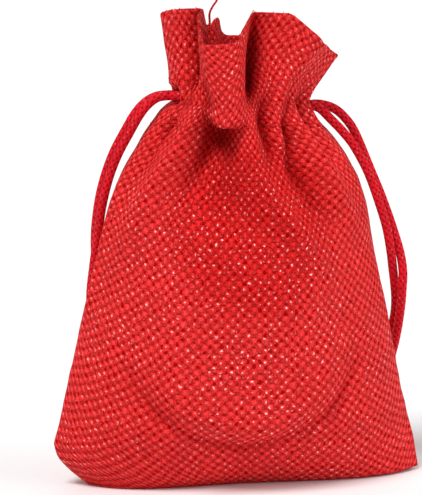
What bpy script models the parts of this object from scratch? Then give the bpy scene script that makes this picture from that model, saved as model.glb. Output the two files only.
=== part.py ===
"""A cinched drawstring pouch of coarse red weave, standing filled and drawn shut.

The pouch is one folded and sewn cloth: a pillow-shaped body on a flattened base, a channel at the
neck and a ruffle above it. Two drawstrings run in the channel, one leaving it on each side, and
the two ends of each are tied in a knot behind the pouch.

Units are metres, +Z is up, the front of the pouch faces -Y, and +X is on the right from the front.
"""

import math

import bmesh
import bpy
from mathutils import Vector

# Cloth
CLOTH_THICKNESS = 0.0010
HEM_THICKNESS = 0.0017
CHANNEL_COVER = 0.0009

# Heights above the flat base
NECK_HEIGHT = 0.0996
CHANNEL_HALF_HEIGHT = 0.0041
RUFFLE_HEIGHT = 0.0236

# Neck, measured on the outside at the cords
NECK_LEFT = 0.0172
NECK_RIGHT = 0.0181
NECK_HALF_DEPTH = 0.0106

# How the thick channel fades into the plain cloth, down the body and up the ruffle
CHANNEL_FADE_DOWN = 0.0110
CHANNEL_FADE_UP = 0.0068

# Drawstrings
CORD_DIAMETER = 0.0024
CORD_CLEARANCE = 0.0005
CORD_STEP = 0.0030
LOOP_HALF_WIDTH = 0.0138
LOOP_HALF_DEPTH = 0.0074
LOOP_OPENING = 38.0
STRAND_GAP = 0.0005

# Exits: the strands spread by this much where they leave the loop, and the distances out from
# the loop's end at which they come together and at which they reach their spacing outside
STRAND_SPREAD = 0.0009
SPREAD_END = 0.0020
SPACING_START = 0.0048
EXIT_HALF_WIDTH = 0.0052
EXIT_MOUTH_HALF_WIDTH = 0.0031
EXIT_REACH = 0.0066

# Knots
KNOT_WIDTH = 0.0068
KNOT_HEIGHT = 0.0056
KNOT_FLATTENING = 0.80
KNOT_LUMP = 0.07
KNOT_TAIL = 0.0050
TAIL_SPREAD = 0.35
TAIL_SUNK = 0.0014
TOUCH_GAP = 0.0003

# Mesh density
FRONT_STEPS = 62
BACK_STEPS = 40
TUNNEL_STEPS = 48
LOOP_STEPS = 22
CORD_SIDES_RESOLUTION = 2
CORD_POINT_SPACING = 0.0038

# The folds fade out over this share of a panel beside each side seam
SEAM_FADE = 0.12
SHARP_ANGLE = 50.0

# Body sections: share of the way from the base to the neck, reach to the left seam, reach to the
# right seam, half depth, how flat the middle is (2 is an oval), and how pointed the seams are
# (0.5 is an oval)
BODY_SECTIONS = (
    (0.0000, 0.0395, 0.0440, 0.0130, 3.0, 0.55),
    (0.0151, 0.0413, 0.0483, 0.0150, 3.0, 0.62),
    (0.0402, 0.0443, 0.0485, 0.0168, 3.0, 0.75),
    (0.0803, 0.0478, 0.0480, 0.0184, 2.8, 0.85),
    (0.1135, 0.0485, 0.0472, 0.0192, 2.7, 0.88),
    (0.1707, 0.0470, 0.0456, 0.0200, 2.5, 0.82),
    (0.3012, 0.0441, 0.0429, 0.0210, 2.3, 0.72),
    (0.4518, 0.0408, 0.0398, 0.0214, 2.1, 0.66),
    (0.6024, 0.0370, 0.0365, 0.0208, 2.0, 0.62),
    (0.7028, 0.0345, 0.0348, 0.0197, 2.0, 0.60),
    (0.7831, 0.0319, 0.0323, 0.0183, 2.0, 0.58),
    (0.8434, 0.0290, 0.0293, 0.0167, 2.0, 0.56),
    (0.8835, 0.0264, 0.0264, 0.0153, 2.0, 0.54),
    (0.9187, 0.0243, 0.0234, 0.0139, 2.0, 0.52),
    (0.9488, 0.0219, 0.0204, 0.0126, 2.0, 0.50),
    (0.9789, 0.0194, 0.0188, 0.0114, 2.0, 0.50),
)

# Ruffle sections in the same terms, each at a share of the way from the neck to the rim
RUFFLE_SECTIONS = (
    (0.20, 0.0174, 0.0190, 0.0108, 2.0, 0.50),
    (0.45, 0.0183, 0.0212, 0.0113, 2.0, 0.60),
    (0.72, 0.0193, 0.0236, 0.0119, 2.0, 0.75),
    (1.00, 0.0203, 0.0258, 0.0126, 2.0, 0.90),
)
NECK_SHAPE = (2.0, 0.50)

# Rows of the outer and the inner surface: shares of the body's height, then of the ruffle's
BODY_ROWS = (
    0.0000, 0.0151, 0.0402, 0.0803, 0.1135, 0.1707, 0.3012, 0.4418, 0.5622, 0.6627, 0.7430,
    0.8032, 0.8484, 0.8835, 0.9137, 0.9388, 0.9608, 0.9759, 0.9900,
)
RUFFLE_ROWS = (0.0, 0.09, 0.18, 0.30, 0.44, 0.58, 0.72, 0.86, 1.0)
INNER_BODY_ROWS = (
    0.0402, 0.1004, 0.1807, 0.3012, 0.4518, 0.6024, 0.7028, 0.7831, 0.8434, 0.8835, 0.9187,
    0.9438, 0.9669,
)
INNER_RUFFLE_ROWS = (0.0, 0.18, 0.32, 0.50, 0.75, 1.0)

# Folds of the front. Each point is a height from the neck, a station (-1 at the left seam and 1 at
# the right one), the rise of the cloth out of the plain section, and the fold's half width
FRONT_FOLDS = {
    "front tongue": (
        (-0.0050, -0.23, 0.0000, 0.08),
        (-0.0030, -0.23, 0.0034, 0.11),
        (0.0000, -0.23, 0.0050, 0.14),
        (0.0080, -0.21, 0.0054, 0.15),
        (0.0240, -0.20, 0.0058, 0.16),
    ),
    "valley left of the tongue": (
        (-0.0120, -0.68, 0.0000, 0.06),
        (-0.0060, -0.65, -0.0016, 0.06),
        (0.0000, -0.61, -0.0006, 0.06),
        (0.0070, -0.59, -0.0034, 0.08),
        (0.0160, -0.56, -0.0032, 0.08),
        (0.0240, -0.50, -0.0020, 0.08),
    ),
    "valley right of the tongue": (
        (-0.0040, 0.00, 0.0000, 0.05),
        (0.0000, 0.01, -0.0006, 0.05),
        (0.0050, 0.04, -0.0036, 0.06),
        (0.0120, 0.07, -0.0062, 0.09),
        (0.0240, 0.09, -0.0044, 0.10),
    ),
    "right fan ridge": (
        (-0.0010, 0.30, 0.0000, 0.08),
        (0.0060, 0.38, 0.0018, 0.09),
        (0.0140, 0.46, 0.0026, 0.11),
        (0.0240, 0.57, 0.0020, 0.14),
    ),
    "right fan hollow": (
        (0.0040, 0.72, 0.0000, 0.12),
        (0.0120, 0.78, -0.0010, 0.12),
        (0.0240, 0.84, -0.0012, 0.12),
    ),
    "left pleat": (
        (-0.0460, -0.66, 0.0000, 0.14),
        (-0.0350, -0.62, 0.0008, 0.12),
        (-0.0240, -0.56, 0.0022, 0.10),
        (-0.0150, -0.48, 0.0032, 0.09),
        (-0.0080, -0.43, 0.0032, 0.08),
        (-0.0020, -0.39, 0.0018, 0.06),
        (0.0050, -0.40, 0.0000, 0.06),
    ),
    "hollow under the tongue": (
        (-0.0270, -0.17, 0.0000, 0.18),
        (-0.0200, -0.18, -0.0016, 0.15),
        (-0.0140, -0.20, -0.0034, 0.12),
        (-0.0090, -0.21, -0.0050, 0.11),
        (-0.0062, -0.22, -0.0046, 0.10),
        (-0.0044, -0.23, -0.0010, 0.10),
        (-0.0036, -0.23, 0.0000, 0.10),
    ),
    "centre hollow": (
        (-0.0560, -0.08, 0.0000, 0.26),
        (-0.0360, -0.14, -0.0012, 0.20),
        (-0.0230, -0.15, -0.0014, 0.16),
        (-0.0150, -0.16, 0.0000, 0.14),
    ),
    "ridge right of centre": (
        (-0.0560, 0.36, 0.0000, 0.12),
        (-0.0445, 0.30, 0.0008, 0.11),
        (-0.0340, 0.22, 0.0020, 0.10),
        (-0.0240, 0.07, 0.0030, 0.09),
        (-0.0165, 0.00, 0.0036, 0.08),
        (-0.0060, -0.02, 0.0034, 0.06),
        (-0.0010, 0.00, 0.0012, 0.05),
        (0.0030, 0.02, 0.0000, 0.05),
    ),
    "short valley right of centre": (
        (-0.0180, 0.14, 0.0000, 0.06),
        (-0.0110, 0.11, -0.0016, 0.05),
        (-0.0060, 0.10, -0.0022, 0.05),
        (-0.0010, 0.13, -0.0008, 0.05),
        (0.0050, 0.16, 0.0000, 0.05),
    ),
    "ridge between the right valleys": (
        (-0.0200, 0.26, 0.0000, 0.06),
        (-0.0100, 0.22, 0.0014, 0.05),
        (-0.0030, 0.24, 0.0014, 0.05),
        (0.0040, 0.28, 0.0008, 0.05),
        (0.0100, 0.30, 0.0000, 0.05),
    ),
    "right shoulder ridge": (
        (-0.0380, 0.58, 0.0000, 0.12),
        (-0.0225, 0.46, 0.0020, 0.10),
        (-0.0115, 0.37, 0.0030, 0.08),
        (-0.0040, 0.39, 0.0018, 0.06),
        (0.0010, 0.41, 0.0010, 0.06),
        (0.0060, 0.44, 0.0000, 0.06),
    ),
    "outer valley on the right": (
        (-0.0200, 0.64, 0.0000, 0.08),
        (-0.0100, 0.56, -0.0016, 0.07),
        (-0.0040, 0.54, -0.0014, 0.06),
        (0.0010, 0.60, -0.0005, 0.06),
        (0.0070, 0.66, 0.0000, 0.06),
    ),
    "left shoulder hollow": (
        (-0.0280, -0.80, 0.0000, 0.08),
        (-0.0150, -0.76, -0.0010, 0.08),
        (-0.0080, -0.78, -0.0010, 0.08),
        (-0.0030, -0.80, 0.0000, 0.08),
    ),
}

# Folds of the back, with stations from -1 at the left seam to 1 at the right one
BACK_FOLDS = {
    "left back ridge": (
        (-0.0520, -0.60, 0.0000, 0.14),
        (-0.0300, -0.52, 0.0014, 0.12),
        (-0.0120, -0.46, 0.0022, 0.09),
        (0.0000, -0.42, 0.0016, 0.07),
        (0.0100, -0.44, 0.0018, 0.10),
        (0.0240, -0.50, 0.0022, 0.14),
    ),
    "back valley left": (
        (-0.0260, -0.26, 0.0000, 0.10),
        (-0.0120, -0.24, -0.0020, 0.08),
        (0.0000, -0.22, -0.0006, 0.06),
        (0.0120, -0.20, -0.0030, 0.08),
        (0.0240, -0.18, -0.0022, 0.10),
    ),
    "middle back ridge": (
        (-0.0560, 0.06, 0.0000, 0.18),
        (-0.0300, 0.02, 0.0014, 0.14),
        (-0.0120, 0.00, 0.0022, 0.10),
        (0.0000, 0.00, 0.0018, 0.08),
        (0.0120, 0.02, 0.0018, 0.11),
        (0.0240, 0.04, 0.0020, 0.14),
    ),
    "back valley right": (
        (-0.0300, 0.28, 0.0000, 0.10),
        (-0.0140, 0.25, -0.0022, 0.08),
        (0.0000, 0.24, -0.0006, 0.06),
        (0.0120, 0.27, -0.0034, 0.09),
        (0.0240, 0.30, -0.0024, 0.10),
    ),
    "right back ridge": (
        (-0.0500, 0.66, 0.0000, 0.14),
        (-0.0280, 0.56, 0.0012, 0.12),
        (-0.0120, 0.50, 0.0020, 0.09),
        (0.0000, 0.48, 0.0016, 0.07),
        (0.0120, 0.52, 0.0014, 0.10),
        (0.0240, 0.58, 0.0018, 0.13),
    ),
}

# The rim: station, and how far it lies below the full height of the ruffle
FRONT_RIM = (
    (-1.00, 0.0016), (-0.72, 0.0012), (-0.44, 0.0010), (-0.385, 0.0020), (-0.335, 0.0060),
    (-0.30, 0.0090), (-0.10, 0.0084), (-0.05, 0.0052), (0.03, 0.0026), (0.11, 0.0012),
    (0.29, 0.0014), (0.45, 0.0048), (0.56, 0.0082), (0.70, 0.0114), (1.00, 0.0136),
)
BACK_RIM = (
    (-1.00, 0.0016), (-0.60, 0.0020), (-0.35, 0.0048), (-0.21, 0.0048), (-0.16, 0.0034),
    (-0.11, 0.0030), (-0.07, 0.0064), (0.00, 0.0078), (0.12, 0.0078), (0.40, 0.0060),
    (0.70, 0.0108), (1.00, 0.0136),
)

# The small gathers that the cords draw all round the neck
GATHERS_ROUND = 26
GATHER_RISE = 0.0006
GATHER_REACH = 0.0160

# The contents press a soft rounded bulge into the front: its middle, half size and rise
BULGE_STATION = -0.06
BULGE_HEIGHT = 0.0380
BULGE_HALF_WIDTH = 0.47
BULGE_HALF_HEIGHT = 0.0290
BULGE_RISE = 0.0009
BULGE_EDGE = 0.34

# The right seam of the ruffle leans forward
LEAN_FORWARD = 0.0050
LEAN_FROM = 0.0080
LEAN_TO = 0.0240
LEAN_RISE = 0.0150

# Cord routes outside the channel, from the exit to the knot, as chosen points of the front and
# the back strand: across, back, and the share of the way from the base to the neck
LEFT_ROUTE = (
    ((-0.0214, -0.0015, 1.0100), (-0.0214, 0.0015, 1.0110)),
    ((-0.0240, -0.0014, 0.9900), (-0.0242, 0.0017, 0.9940)),
    ((-0.0261, -0.0012, 0.9618), (-0.0266, 0.0020, 0.9659)),
    ((-0.0282, -0.0008, 0.9237), (-0.0288, 0.0024, 0.9277)),
    ((-0.0312, 0.0002, 0.8655), (-0.0318, 0.0033, 0.8695)),
    ((-0.0335, 0.0014, 0.8012), (-0.0341, 0.0045, 0.8032)),
    ((-0.0351, 0.0028, 0.7289), (-0.0356, 0.0060, 0.7309)),
    ((-0.0360, 0.0054, 0.6446), (-0.0362, 0.0086, 0.6446)),
    ((-0.0368, 0.0080, 0.5622), (-0.0357, 0.0110, 0.5622)),
    ((-0.0374, 0.0098, 0.4819), (-0.0347, 0.0120, 0.4819)),
    ((-0.0366, 0.0114, 0.4016), (-0.0337, 0.0132, 0.4016)),
    ((-0.0357, 0.0128, 0.3213), (-0.0328, 0.0147, 0.3213)),
    ((-0.0350, 0.0139, 0.2510), (-0.0321, 0.0155, 0.2510)),
)
RIGHT_ROUTE = (
    ((0.0211, -0.0017, 0.9779), (0.0218, 0.0015, 0.9859)),
    ((0.0240, -0.0020, 0.9498), (0.0258, 0.0016, 0.9739)),
    ((0.0274, -0.0021, 0.9147), (0.0290, 0.0014, 0.9458)),
    ((0.0304, -0.0022, 0.8765), (0.0316, 0.0012, 0.9056)),
    ((0.0341, -0.0021, 0.8092), (0.0356, 0.0013, 0.8133)),
    ((0.0370, -0.0019, 0.7339), (0.0386, 0.0013, 0.7430)),
    ((0.0394, -0.0014, 0.6627), (0.0414, 0.0011, 0.6667)),
    ((0.0409, -0.0006, 0.5944), (0.0436, 0.0006, 0.5944)),
    ((0.0419, 0.0012, 0.5502), (0.0443, -0.0003, 0.5422)),
    ((0.0430, 0.0031, 0.5020), (0.0443, 0.0000, 0.4980)),
    ((0.0439, 0.0052, 0.4518), (0.0444, 0.0016, 0.4458)),
    ((0.0442, 0.0078, 0.4016), (0.0445, 0.0042, 0.3936)),
    ((0.0436, 0.0106, 0.3434), (0.0444, 0.0074, 0.3353)),
    ((0.0420, 0.0126, 0.2892), (0.0437, 0.0096, 0.2851)),
    ((0.0394, 0.0138, 0.2329), (0.0419, 0.0110, 0.2309)),
    ((0.0366, 0.0132, 0.1847), (0.0394, 0.0122, 0.1847)),
)
LEFT_KNOT = (-0.0336, 0.0162, 0.0150)
RIGHT_KNOT = (0.0366, 0.0146, 0.0110)

# Plain colours, roughness
RED_CLOTH = ("red weave", (0.640, 0.028, 0.026), 0.75)
RED_CORD = ("red braid", (0.500, 0.018, 0.036), 0.60)


def clear_scene():
    for item in list(bpy.data.objects):
        bpy.data.objects.remove(item, do_unlink=True)


def new_collection(name):
    collection = bpy.data.collections.new(name)
    bpy.context.scene.collection.children.link(collection)
    return collection


def plain_material(name, colour, roughness):
    material = bpy.data.materials.new(name)
    material.use_nodes = True
    shader = material.node_tree.nodes["Principled BSDF"]
    shader.inputs["Base Color"].default_value = (*colour, 1.0)
    shader.inputs["Roughness"].default_value = roughness
    shader.inputs["Metallic"].default_value = 0.0
    return material


def smooth_step(value):
    value = min(max(value, 0.0), 1.0)
    return value * value * (3.0 - 2.0 * value)


def between(table, position):
    """The row of a table at a position given by its first column, blended smoothly."""
    if position <= table[0][0]:
        return table[0][1:]
    for low, high in zip(table, table[1:]):
        if position <= high[0]:
            share = (position - low[0]) / (high[0] - low[0])
            return tuple(a + (b - a) * share for a, b in zip(low[1:], high[1:]))
    return table[-1][1:]


def body_table():
    """The body's sections, up to the neck."""
    return (*BODY_SECTIONS, (1.0, NECK_LEFT, NECK_RIGHT, NECK_HALF_DEPTH, *NECK_SHAPE))


def ruffle_table():
    """The ruffle's sections, from the neck up to the rim."""
    return ((0.0, NECK_LEFT, NECK_RIGHT, NECK_HALF_DEPTH, *NECK_SHAPE), *RUFFLE_SECTIONS)


def outer_section(height, share):
    """Reach left, reach right, half depth, flatness and seam point of the outer surface."""
    if share is None:
        return between(body_table(), height / NECK_HEIGHT)
    return between(ruffle_table(), share)


def side_and_station(angle):
    """Which panel an angle is on, and where between its seams: 0 degrees is the right seam."""
    turned = angle % 360.0
    if turned < 180.0:
        return "back", (90.0 - turned) / 90.0
    return "front", (turned - 270.0) / 90.0


def fold_rise(folds, above_neck, station):
    total = 0.0
    for points in folds.values():
        if above_neck <= points[0][0] and points[0][2] == 0.0:
            continue
        if above_neck >= points[-1][0] and points[-1][2] == 0.0:
            continue
        place, rise, width = between(points, above_neck)
        total += rise * math.exp(-(((station - place) / width) ** 2))
    return total


def gather_rise(angle, above_neck):
    """Small even gathers that fade away from the neck both ways."""
    fade = smooth_step(1.0 - abs(above_neck) / GATHER_REACH)
    wave = 0.5 - 0.5 * math.cos(math.radians(angle) * GATHERS_ROUND)
    return GATHER_RISE * fade * wave


def bulge_rise(station, height):
    """The rounded outline of the contents, seen as a soft crease low on the front."""
    across = (station - BULGE_STATION) / BULGE_HALF_WIDTH
    upward = (height - BULGE_HEIGHT) / BULGE_HALF_HEIGHT
    return BULGE_RISE * smooth_step((1.0 - math.hypot(across, upward)) / BULGE_EDGE)


def cloth_rise(angle, height):
    side, station = side_and_station(angle)
    above_neck = height - NECK_HEIGHT
    seam_fade = smooth_step((1.0 - abs(station)) / SEAM_FADE)
    if side == "front":
        rise = fold_rise(FRONT_FOLDS, above_neck, station) + bulge_rise(station, height)
    else:
        rise = fold_rise(BACK_FOLDS, above_neck, station)
    return rise * seam_fade + gather_rise(angle, above_neck)


def rim_height(angle):
    side, station = side_and_station(angle)
    drop = between(FRONT_RIM if side == "front" else BACK_RIM, station)[0]
    return NECK_HEIGHT + RUFFLE_HEIGHT - drop


def level_at(angle, height, share):
    if share is None:
        return height
    return NECK_HEIGHT + (rim_height(angle) - NECK_HEIGHT) * share


def tunnel_half_width():
    return CORD_DIAMETER / 2 + CORD_CLEARANCE


def channel_share(level):
    """0 where the wall is plain cloth, and 1 where it holds the cords' tunnel."""
    above = level - NECK_HEIGHT - CHANNEL_HALF_HEIGHT
    below = NECK_HEIGHT - CHANNEL_HALF_HEIGHT - level
    return smooth_step(1.0 - max(above / CHANNEL_FADE_UP, below / CHANNEL_FADE_DOWN))


def inner_section(height, share, level):
    """The inner surface: one wall inside the cloth, and inside the cords' tunnel at the neck."""
    wall = CLOTH_THICKNESS if share is None else HEM_THICKNESS
    left, right, depth, flatness, seam_point = outer_section(height, share)
    cover = tunnel_half_width() + CHANNEL_COVER
    plain = (left - wall, right - wall, depth - wall, flatness, seam_point)
    neck = (LOOP_HALF_WIDTH - cover, LOOP_HALF_WIDTH - cover, LOOP_HALF_DEPTH - cover, *NECK_SHAPE)
    blend = channel_share(level)
    return tuple(a + (b - a) * blend for a, b in zip(plain, neck))


def lean(point):
    """The right seam's corner of the ruffle comes forward."""
    across = smooth_step((point.x - LEAN_FROM) / (LEAN_TO - LEAN_FROM))
    upward = smooth_step((point.z - NECK_HEIGHT - CHANNEL_HALF_HEIGHT) / LEAN_RISE)
    return Vector((point.x, point.y - LEAN_FORWARD * across * upward, point.z))


def cloth_point(angle, height, share=None, inner=False):
    level = level_at(angle, height, share)
    rise = cloth_rise(angle, level)
    if inner:
        left, right, depth, flatness, seam_point = inner_section(height, share, level)
        rise = min(rise, rise * (1.0 - channel_share(level)))
    else:
        left, right, depth, flatness, seam_point = outer_section(height, share)
    turn = math.radians(angle)
    across = math.cos(turn)
    reach = (right if across > 0.0 else left) + rise
    bulge = (1.0 - min(abs(across), 1.0) ** flatness) ** seam_point
    half_depth = math.copysign(depth + rise, math.sin(turn))
    return lean(Vector((reach * across, half_depth * bulge, level)))


def angles_round():
    """Stations round the cloth in degrees, closer together on the front."""
    back = [180.0 * i / BACK_STEPS for i in range(BACK_STEPS)]
    front = [180.0 + 180.0 * i / FRONT_STEPS for i in range(FRONT_STEPS)]
    return back + front


def loft(mesh, rings):
    """Quads between rings of equal count, and a flat face on the first and the last ring."""
    loops = [[mesh.verts.new(point) for point in ring] for ring in rings]
    for low, high in zip(loops, loops[1:]):
        for i in range(len(low)):
            j = (i + 1) % len(low)
            mesh.faces.new((low[i], low[j], high[j], high[i]))
    mesh.faces.new(list(reversed(loops[0])))
    mesh.faces.new(loops[-1])


def cloth_rings():
    """Rings up the outer surface from the floor, over the rim, and down the inner surface."""
    angles = angles_round()
    outer = [(part * NECK_HEIGHT, None) for part in BODY_ROWS]
    outer += [(None, share) for share in RUFFLE_ROWS]
    inner = [(CLOTH_THICKNESS, None)]
    inner += [(part * NECK_HEIGHT, None) for part in INNER_BODY_ROWS]
    inner += [(None, share) for share in INNER_RUFFLE_ROWS]
    rings = [[cloth_point(angle, *row) for angle in angles] for row in outer]
    rings += [[cloth_point(angle, *row, inner=True) for angle in angles] for row in reversed(inner)]
    return rings


def make_cloth(collection, cutters, material):
    mesh = bmesh.new()
    loft(mesh, cloth_rings())
    bmesh.ops.recalc_face_normals(mesh, faces=mesh.faces)
    bmesh.ops.triangulate(mesh, faces=mesh.faces)
    data = bpy.data.meshes.new("pouch_cloth")
    mesh.to_mesh(data)
    mesh.free()
    data.shade_smooth()
    data.set_sharp_from_angle(angle=math.radians(SHARP_ANGLE))
    cloth = bpy.data.objects.new("pouch_cloth", data)
    cloth.data.materials.append(material)
    collection.objects.link(cloth)
    exits = [exit_cutter(cutters, side, cord_level(side)) for side in (-1, 1)]
    for cutter in (*exits, tunnel_cutter(cutters)):
        cut = cloth.modifiers.new(f"cut by {cutter.name}", "BOOLEAN")
        cut.operation = "DIFFERENCE"
        cut.solver = "EXACT"
        cut.object = cutter
    return cloth


def as_cutter(item, cutters):
    cutters.objects.link(item)
    item.hide_render = True
    item.display_type = "WIRE"
    return item


def tunnel_half_height():
    """Two cords lie one above the other in the tunnel."""
    return CORD_STEP / 2 + CORD_DIAMETER / 2 + CORD_CLEARANCE


def tunnel_cutter(cutters):
    """An oval ring of rectangular section, closed on itself, for both cords."""
    mesh = bmesh.new()
    half_width = tunnel_half_width()
    half_height = tunnel_half_height()
    corners = (
        (-half_width, -half_height), (half_width, -half_height),
        (half_width, half_height), (-half_width, half_height),
    )
    loops = []
    for step in range(TUNNEL_STEPS):
        turn = math.tau * step / TUNNEL_STEPS
        loops.append([
            mesh.verts.new((
                (LOOP_HALF_WIDTH + out) * math.cos(turn),
                (LOOP_HALF_DEPTH + out) * math.sin(turn),
                NECK_HEIGHT + up,
            ))
            for out, up in corners
        ])
    for i, loop in enumerate(loops):
        following = loops[(i + 1) % len(loops)]
        for k in range(4):
            m = (k + 1) % 4
            mesh.faces.new((loop[k], following[k], following[m], loop[m]))
    bmesh.ops.recalc_face_normals(mesh, faces=mesh.faces)
    data = bpy.data.meshes.new("cord_tunnel")
    mesh.to_mesh(data)
    mesh.free()
    return as_cutter(bpy.data.objects.new("cord_tunnel", data), cutters)


def exit_cutter(cutters, side, level):
    """A block that narrows outwards, from inside the tunnel out through the side seam."""
    inner = LOOP_HALF_WIDTH - tunnel_half_width() * 0.75
    outer = LOOP_HALF_WIDTH + EXIT_REACH
    mesh = bmesh.new()
    bmesh.ops.create_cube(mesh, size=2.0)
    for vertex in mesh.verts:
        far = vertex.co.x > 0.0
        half_width = EXIT_MOUTH_HALF_WIDTH if far else EXIT_HALF_WIDTH
        vertex.co = Vector((
            side * (outer if far else inner),
            vertex.co.y * half_width,
            level + vertex.co.z * (CORD_DIAMETER / 2 + CORD_CLEARANCE),
        ))
    if side < 0:
        bmesh.ops.reverse_faces(mesh, faces=mesh.faces)
    name = "exit_left" if side < 0 else "exit_right"
    data = bpy.data.meshes.new(name)
    mesh.to_mesh(data)
    mesh.free()
    return as_cutter(bpy.data.objects.new(name, data), cutters)


def smooth_points(points, spacing):
    """Points at an even spacing along a smooth curve through the given ones."""
    fine = []
    for i in range(len(points) - 1):
        before = points[max(i - 1, 0)]
        start = points[i]
        end = points[i + 1]
        after = points[min(i + 2, len(points) - 1)]
        for k in range(16):
            t = k / 16
            fine.append(
                0.5 * (
                    2 * start
                    + (end - before) * t
                    + (2 * before - 5 * start + 4 * end - after) * t ** 2
                    + (3 * start - 3 * end + after - before) * t ** 3
                )
            )
    fine.append(points[-1])
    total = sum((b - a).length for a, b in zip(fine, fine[1:]))
    count = max(2, round(total / spacing))
    even = [fine[0]]
    walked = 0.0
    for a, b in zip(fine, fine[1:]):
        length = (b - a).length
        while len(even) < count and walked + length >= total * len(even) / count:
            share = (total * len(even) / count - walked) / length
            even.append(a.lerp(b, share))
        walked += length
    even.append(fine[-1])
    return even


def loop_points(side, level):
    """The part of a drawstring inside the channel, from one strand's exit round to the other's."""
    sweep = 180.0 - LOOP_OPENING
    points = []
    for step in range(LOOP_STEPS + 1):
        turn = math.radians(-sweep + 2 * sweep * step / LOOP_STEPS)
        points.append(Vector((
            -side * LOOP_HALF_WIDTH * math.cos(turn),
            LOOP_HALF_DEPTH * math.sin(turn),
            level,
        )))
    return points


def cord_level(side):
    """The left drawstring's loop lies above the right one's."""
    return NECK_HEIGHT - side * CORD_STEP / 2


def strand_offset():
    return (CORD_DIAMETER + STRAND_GAP) / 2


def route_point(chosen):
    """A chosen point of a cord's route, at its share of the neck's height."""
    across, back, share = chosen
    return Vector((across, back, share * NECK_HEIGHT))


def drawstring_points(side, level, route, knot):
    """One whole cord: knot, front strand, loop in the channel, back strand, knot."""
    wide = strand_offset() + STRAND_SPREAD
    exits = [
        [Vector((side * (LOOP_HALF_WIDTH + SPREAD_END), y * wide, level)),
         Vector((side * (LOOP_HALF_WIDTH + SPACING_START), y * strand_offset(), level))]
        for y in (-1, 1)
    ]
    front = [route_point(pair[0]) for pair in route]
    back = [route_point(pair[1]) for pair in route]
    top = Vector(knot) + Vector((0.0, 0.0, KNOT_HEIGHT / 2 + TOUCH_GAP))
    ends = [top + Vector((-strand_offset(), 0.0, 0.0)), top + Vector((strand_offset(), 0.0, 0.0))]
    if side > 0:
        ends.reverse()
    above = Vector((0.0, 0.0, CORD_DIAMETER))
    start = [ends[0], ends[0] + above, *reversed(front), *reversed(exits[0])]
    finish = [*exits[1], *back, ends[1] + above, ends[1]]
    return start + loop_points(side, level) + finish


def make_cord(collection, name, points, material):
    data = bpy.data.curves.new(name, "CURVE")
    data.dimensions = "3D"
    data.bevel_depth = CORD_DIAMETER / 2
    data.bevel_resolution = CORD_SIDES_RESOLUTION
    data.use_fill_caps = True
    spline = data.splines.new("POLY")
    spline.points.add(len(points) - 1)
    for place, point in zip(spline.points, points):
        place.co = (*point, 1.0)
    spline.use_smooth = True
    cord = bpy.data.objects.new(name, data)
    cord.data.materials.append(material)
    collection.objects.link(cord)
    return cord


def make_knot(collection, name, centre, material):
    """An overhand knot as a rounded lump with the two cut ends of the cord below it."""
    mesh = bmesh.new()
    bmesh.ops.create_uvsphere(mesh, u_segments=20, v_segments=12, radius=1.0)
    for vertex in mesh.verts:
        turn = math.atan2(vertex.co.y, vertex.co.x)
        lump = 1.0 + KNOT_LUMP * math.cos(3.0 * (turn + vertex.co.z))
        vertex.co.x *= KNOT_WIDTH / 2 * lump
        vertex.co.y *= KNOT_WIDTH / 2 * KNOT_FLATTENING * lump
        vertex.co.z *= KNOT_HEIGHT / 2
    data = bpy.data.meshes.new(name)
    mesh.to_mesh(data)
    mesh.free()
    data.shade_smooth()
    knot = bpy.data.objects.new(name, data)
    knot.location = centre
    knot.data.materials.append(material)
    collection.objects.link(knot)
    return knot


def add_tails(knot, cutters):
    """The two cut ends, joined to the knot."""
    for side in (-1, 1):
        mesh = bmesh.new()
        bmesh.ops.create_cone(
            mesh, cap_ends=True, segments=10, radius1=CORD_DIAMETER / 2,
            radius2=CORD_DIAMETER / 2, depth=KNOT_TAIL + TAIL_SUNK,
        )
        lie = Vector((-side * TAIL_SPREAD, 0.0, 1.0))
        turned = Vector((0.0, 0.0, 1.0)).rotation_difference(lie).to_matrix()
        bmesh.ops.rotate(mesh, verts=mesh.verts, cent=(0.0, 0.0, 0.0), matrix=turned)
        data = bpy.data.meshes.new(f"{knot.name}_tail")
        mesh.to_mesh(data)
        mesh.free()
        tail = bpy.data.objects.new(f"{knot.name}_tail_{'left' if side < 0 else 'right'}", data)
        down = KNOT_HEIGHT / 2 + (KNOT_TAIL - TAIL_SUNK) / 2 - TAIL_SUNK
        tail.location = knot.location + Vector((side * CORD_DIAMETER * 0.75, 0.0, -down))
        as_cutter(tail, cutters)
        join = knot.modifiers.new(f"join {tail.name}", "BOOLEAN")
        join.operation = "UNION"
        join.solver = "EXACT"
        join.object = tail


def main():
    clear_scene()
    parts = new_collection("drawstring_pouch")
    cutters = new_collection("cutters")
    cloth_material = plain_material(*RED_CLOTH)
    cord_material = plain_material(*RED_CORD)
    make_cloth(parts, cutters, cloth_material)
    for name, side, route, centre in (
        ("left", -1, LEFT_ROUTE, LEFT_KNOT),
        ("right", 1, RIGHT_ROUTE, RIGHT_KNOT),
    ):
        points = drawstring_points(side, cord_level(side), route, centre)
        make_cord(parts, f"drawstring_{name}", smooth_points(points, CORD_POINT_SPACING), cord_material)
        knot = make_knot(parts, f"knot_{name}", Vector(centre), cord_material)
        add_tails(knot, cutters)


main()
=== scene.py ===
"""A small pouch of coarse red weave, filled and drawn shut, on a pale floor.

The pouch is one gathered cloth with a ruffled mouth. Two braided drawstrings run in its channel,
and the two strands of each hang down a side to a knot behind the pouch. Units are metres, +Z is
up and the front faces -Y.
"""

import math
import random

import bmesh
import bpy
import numpy as np
from mathutils import Matrix, Vector, noise


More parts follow.
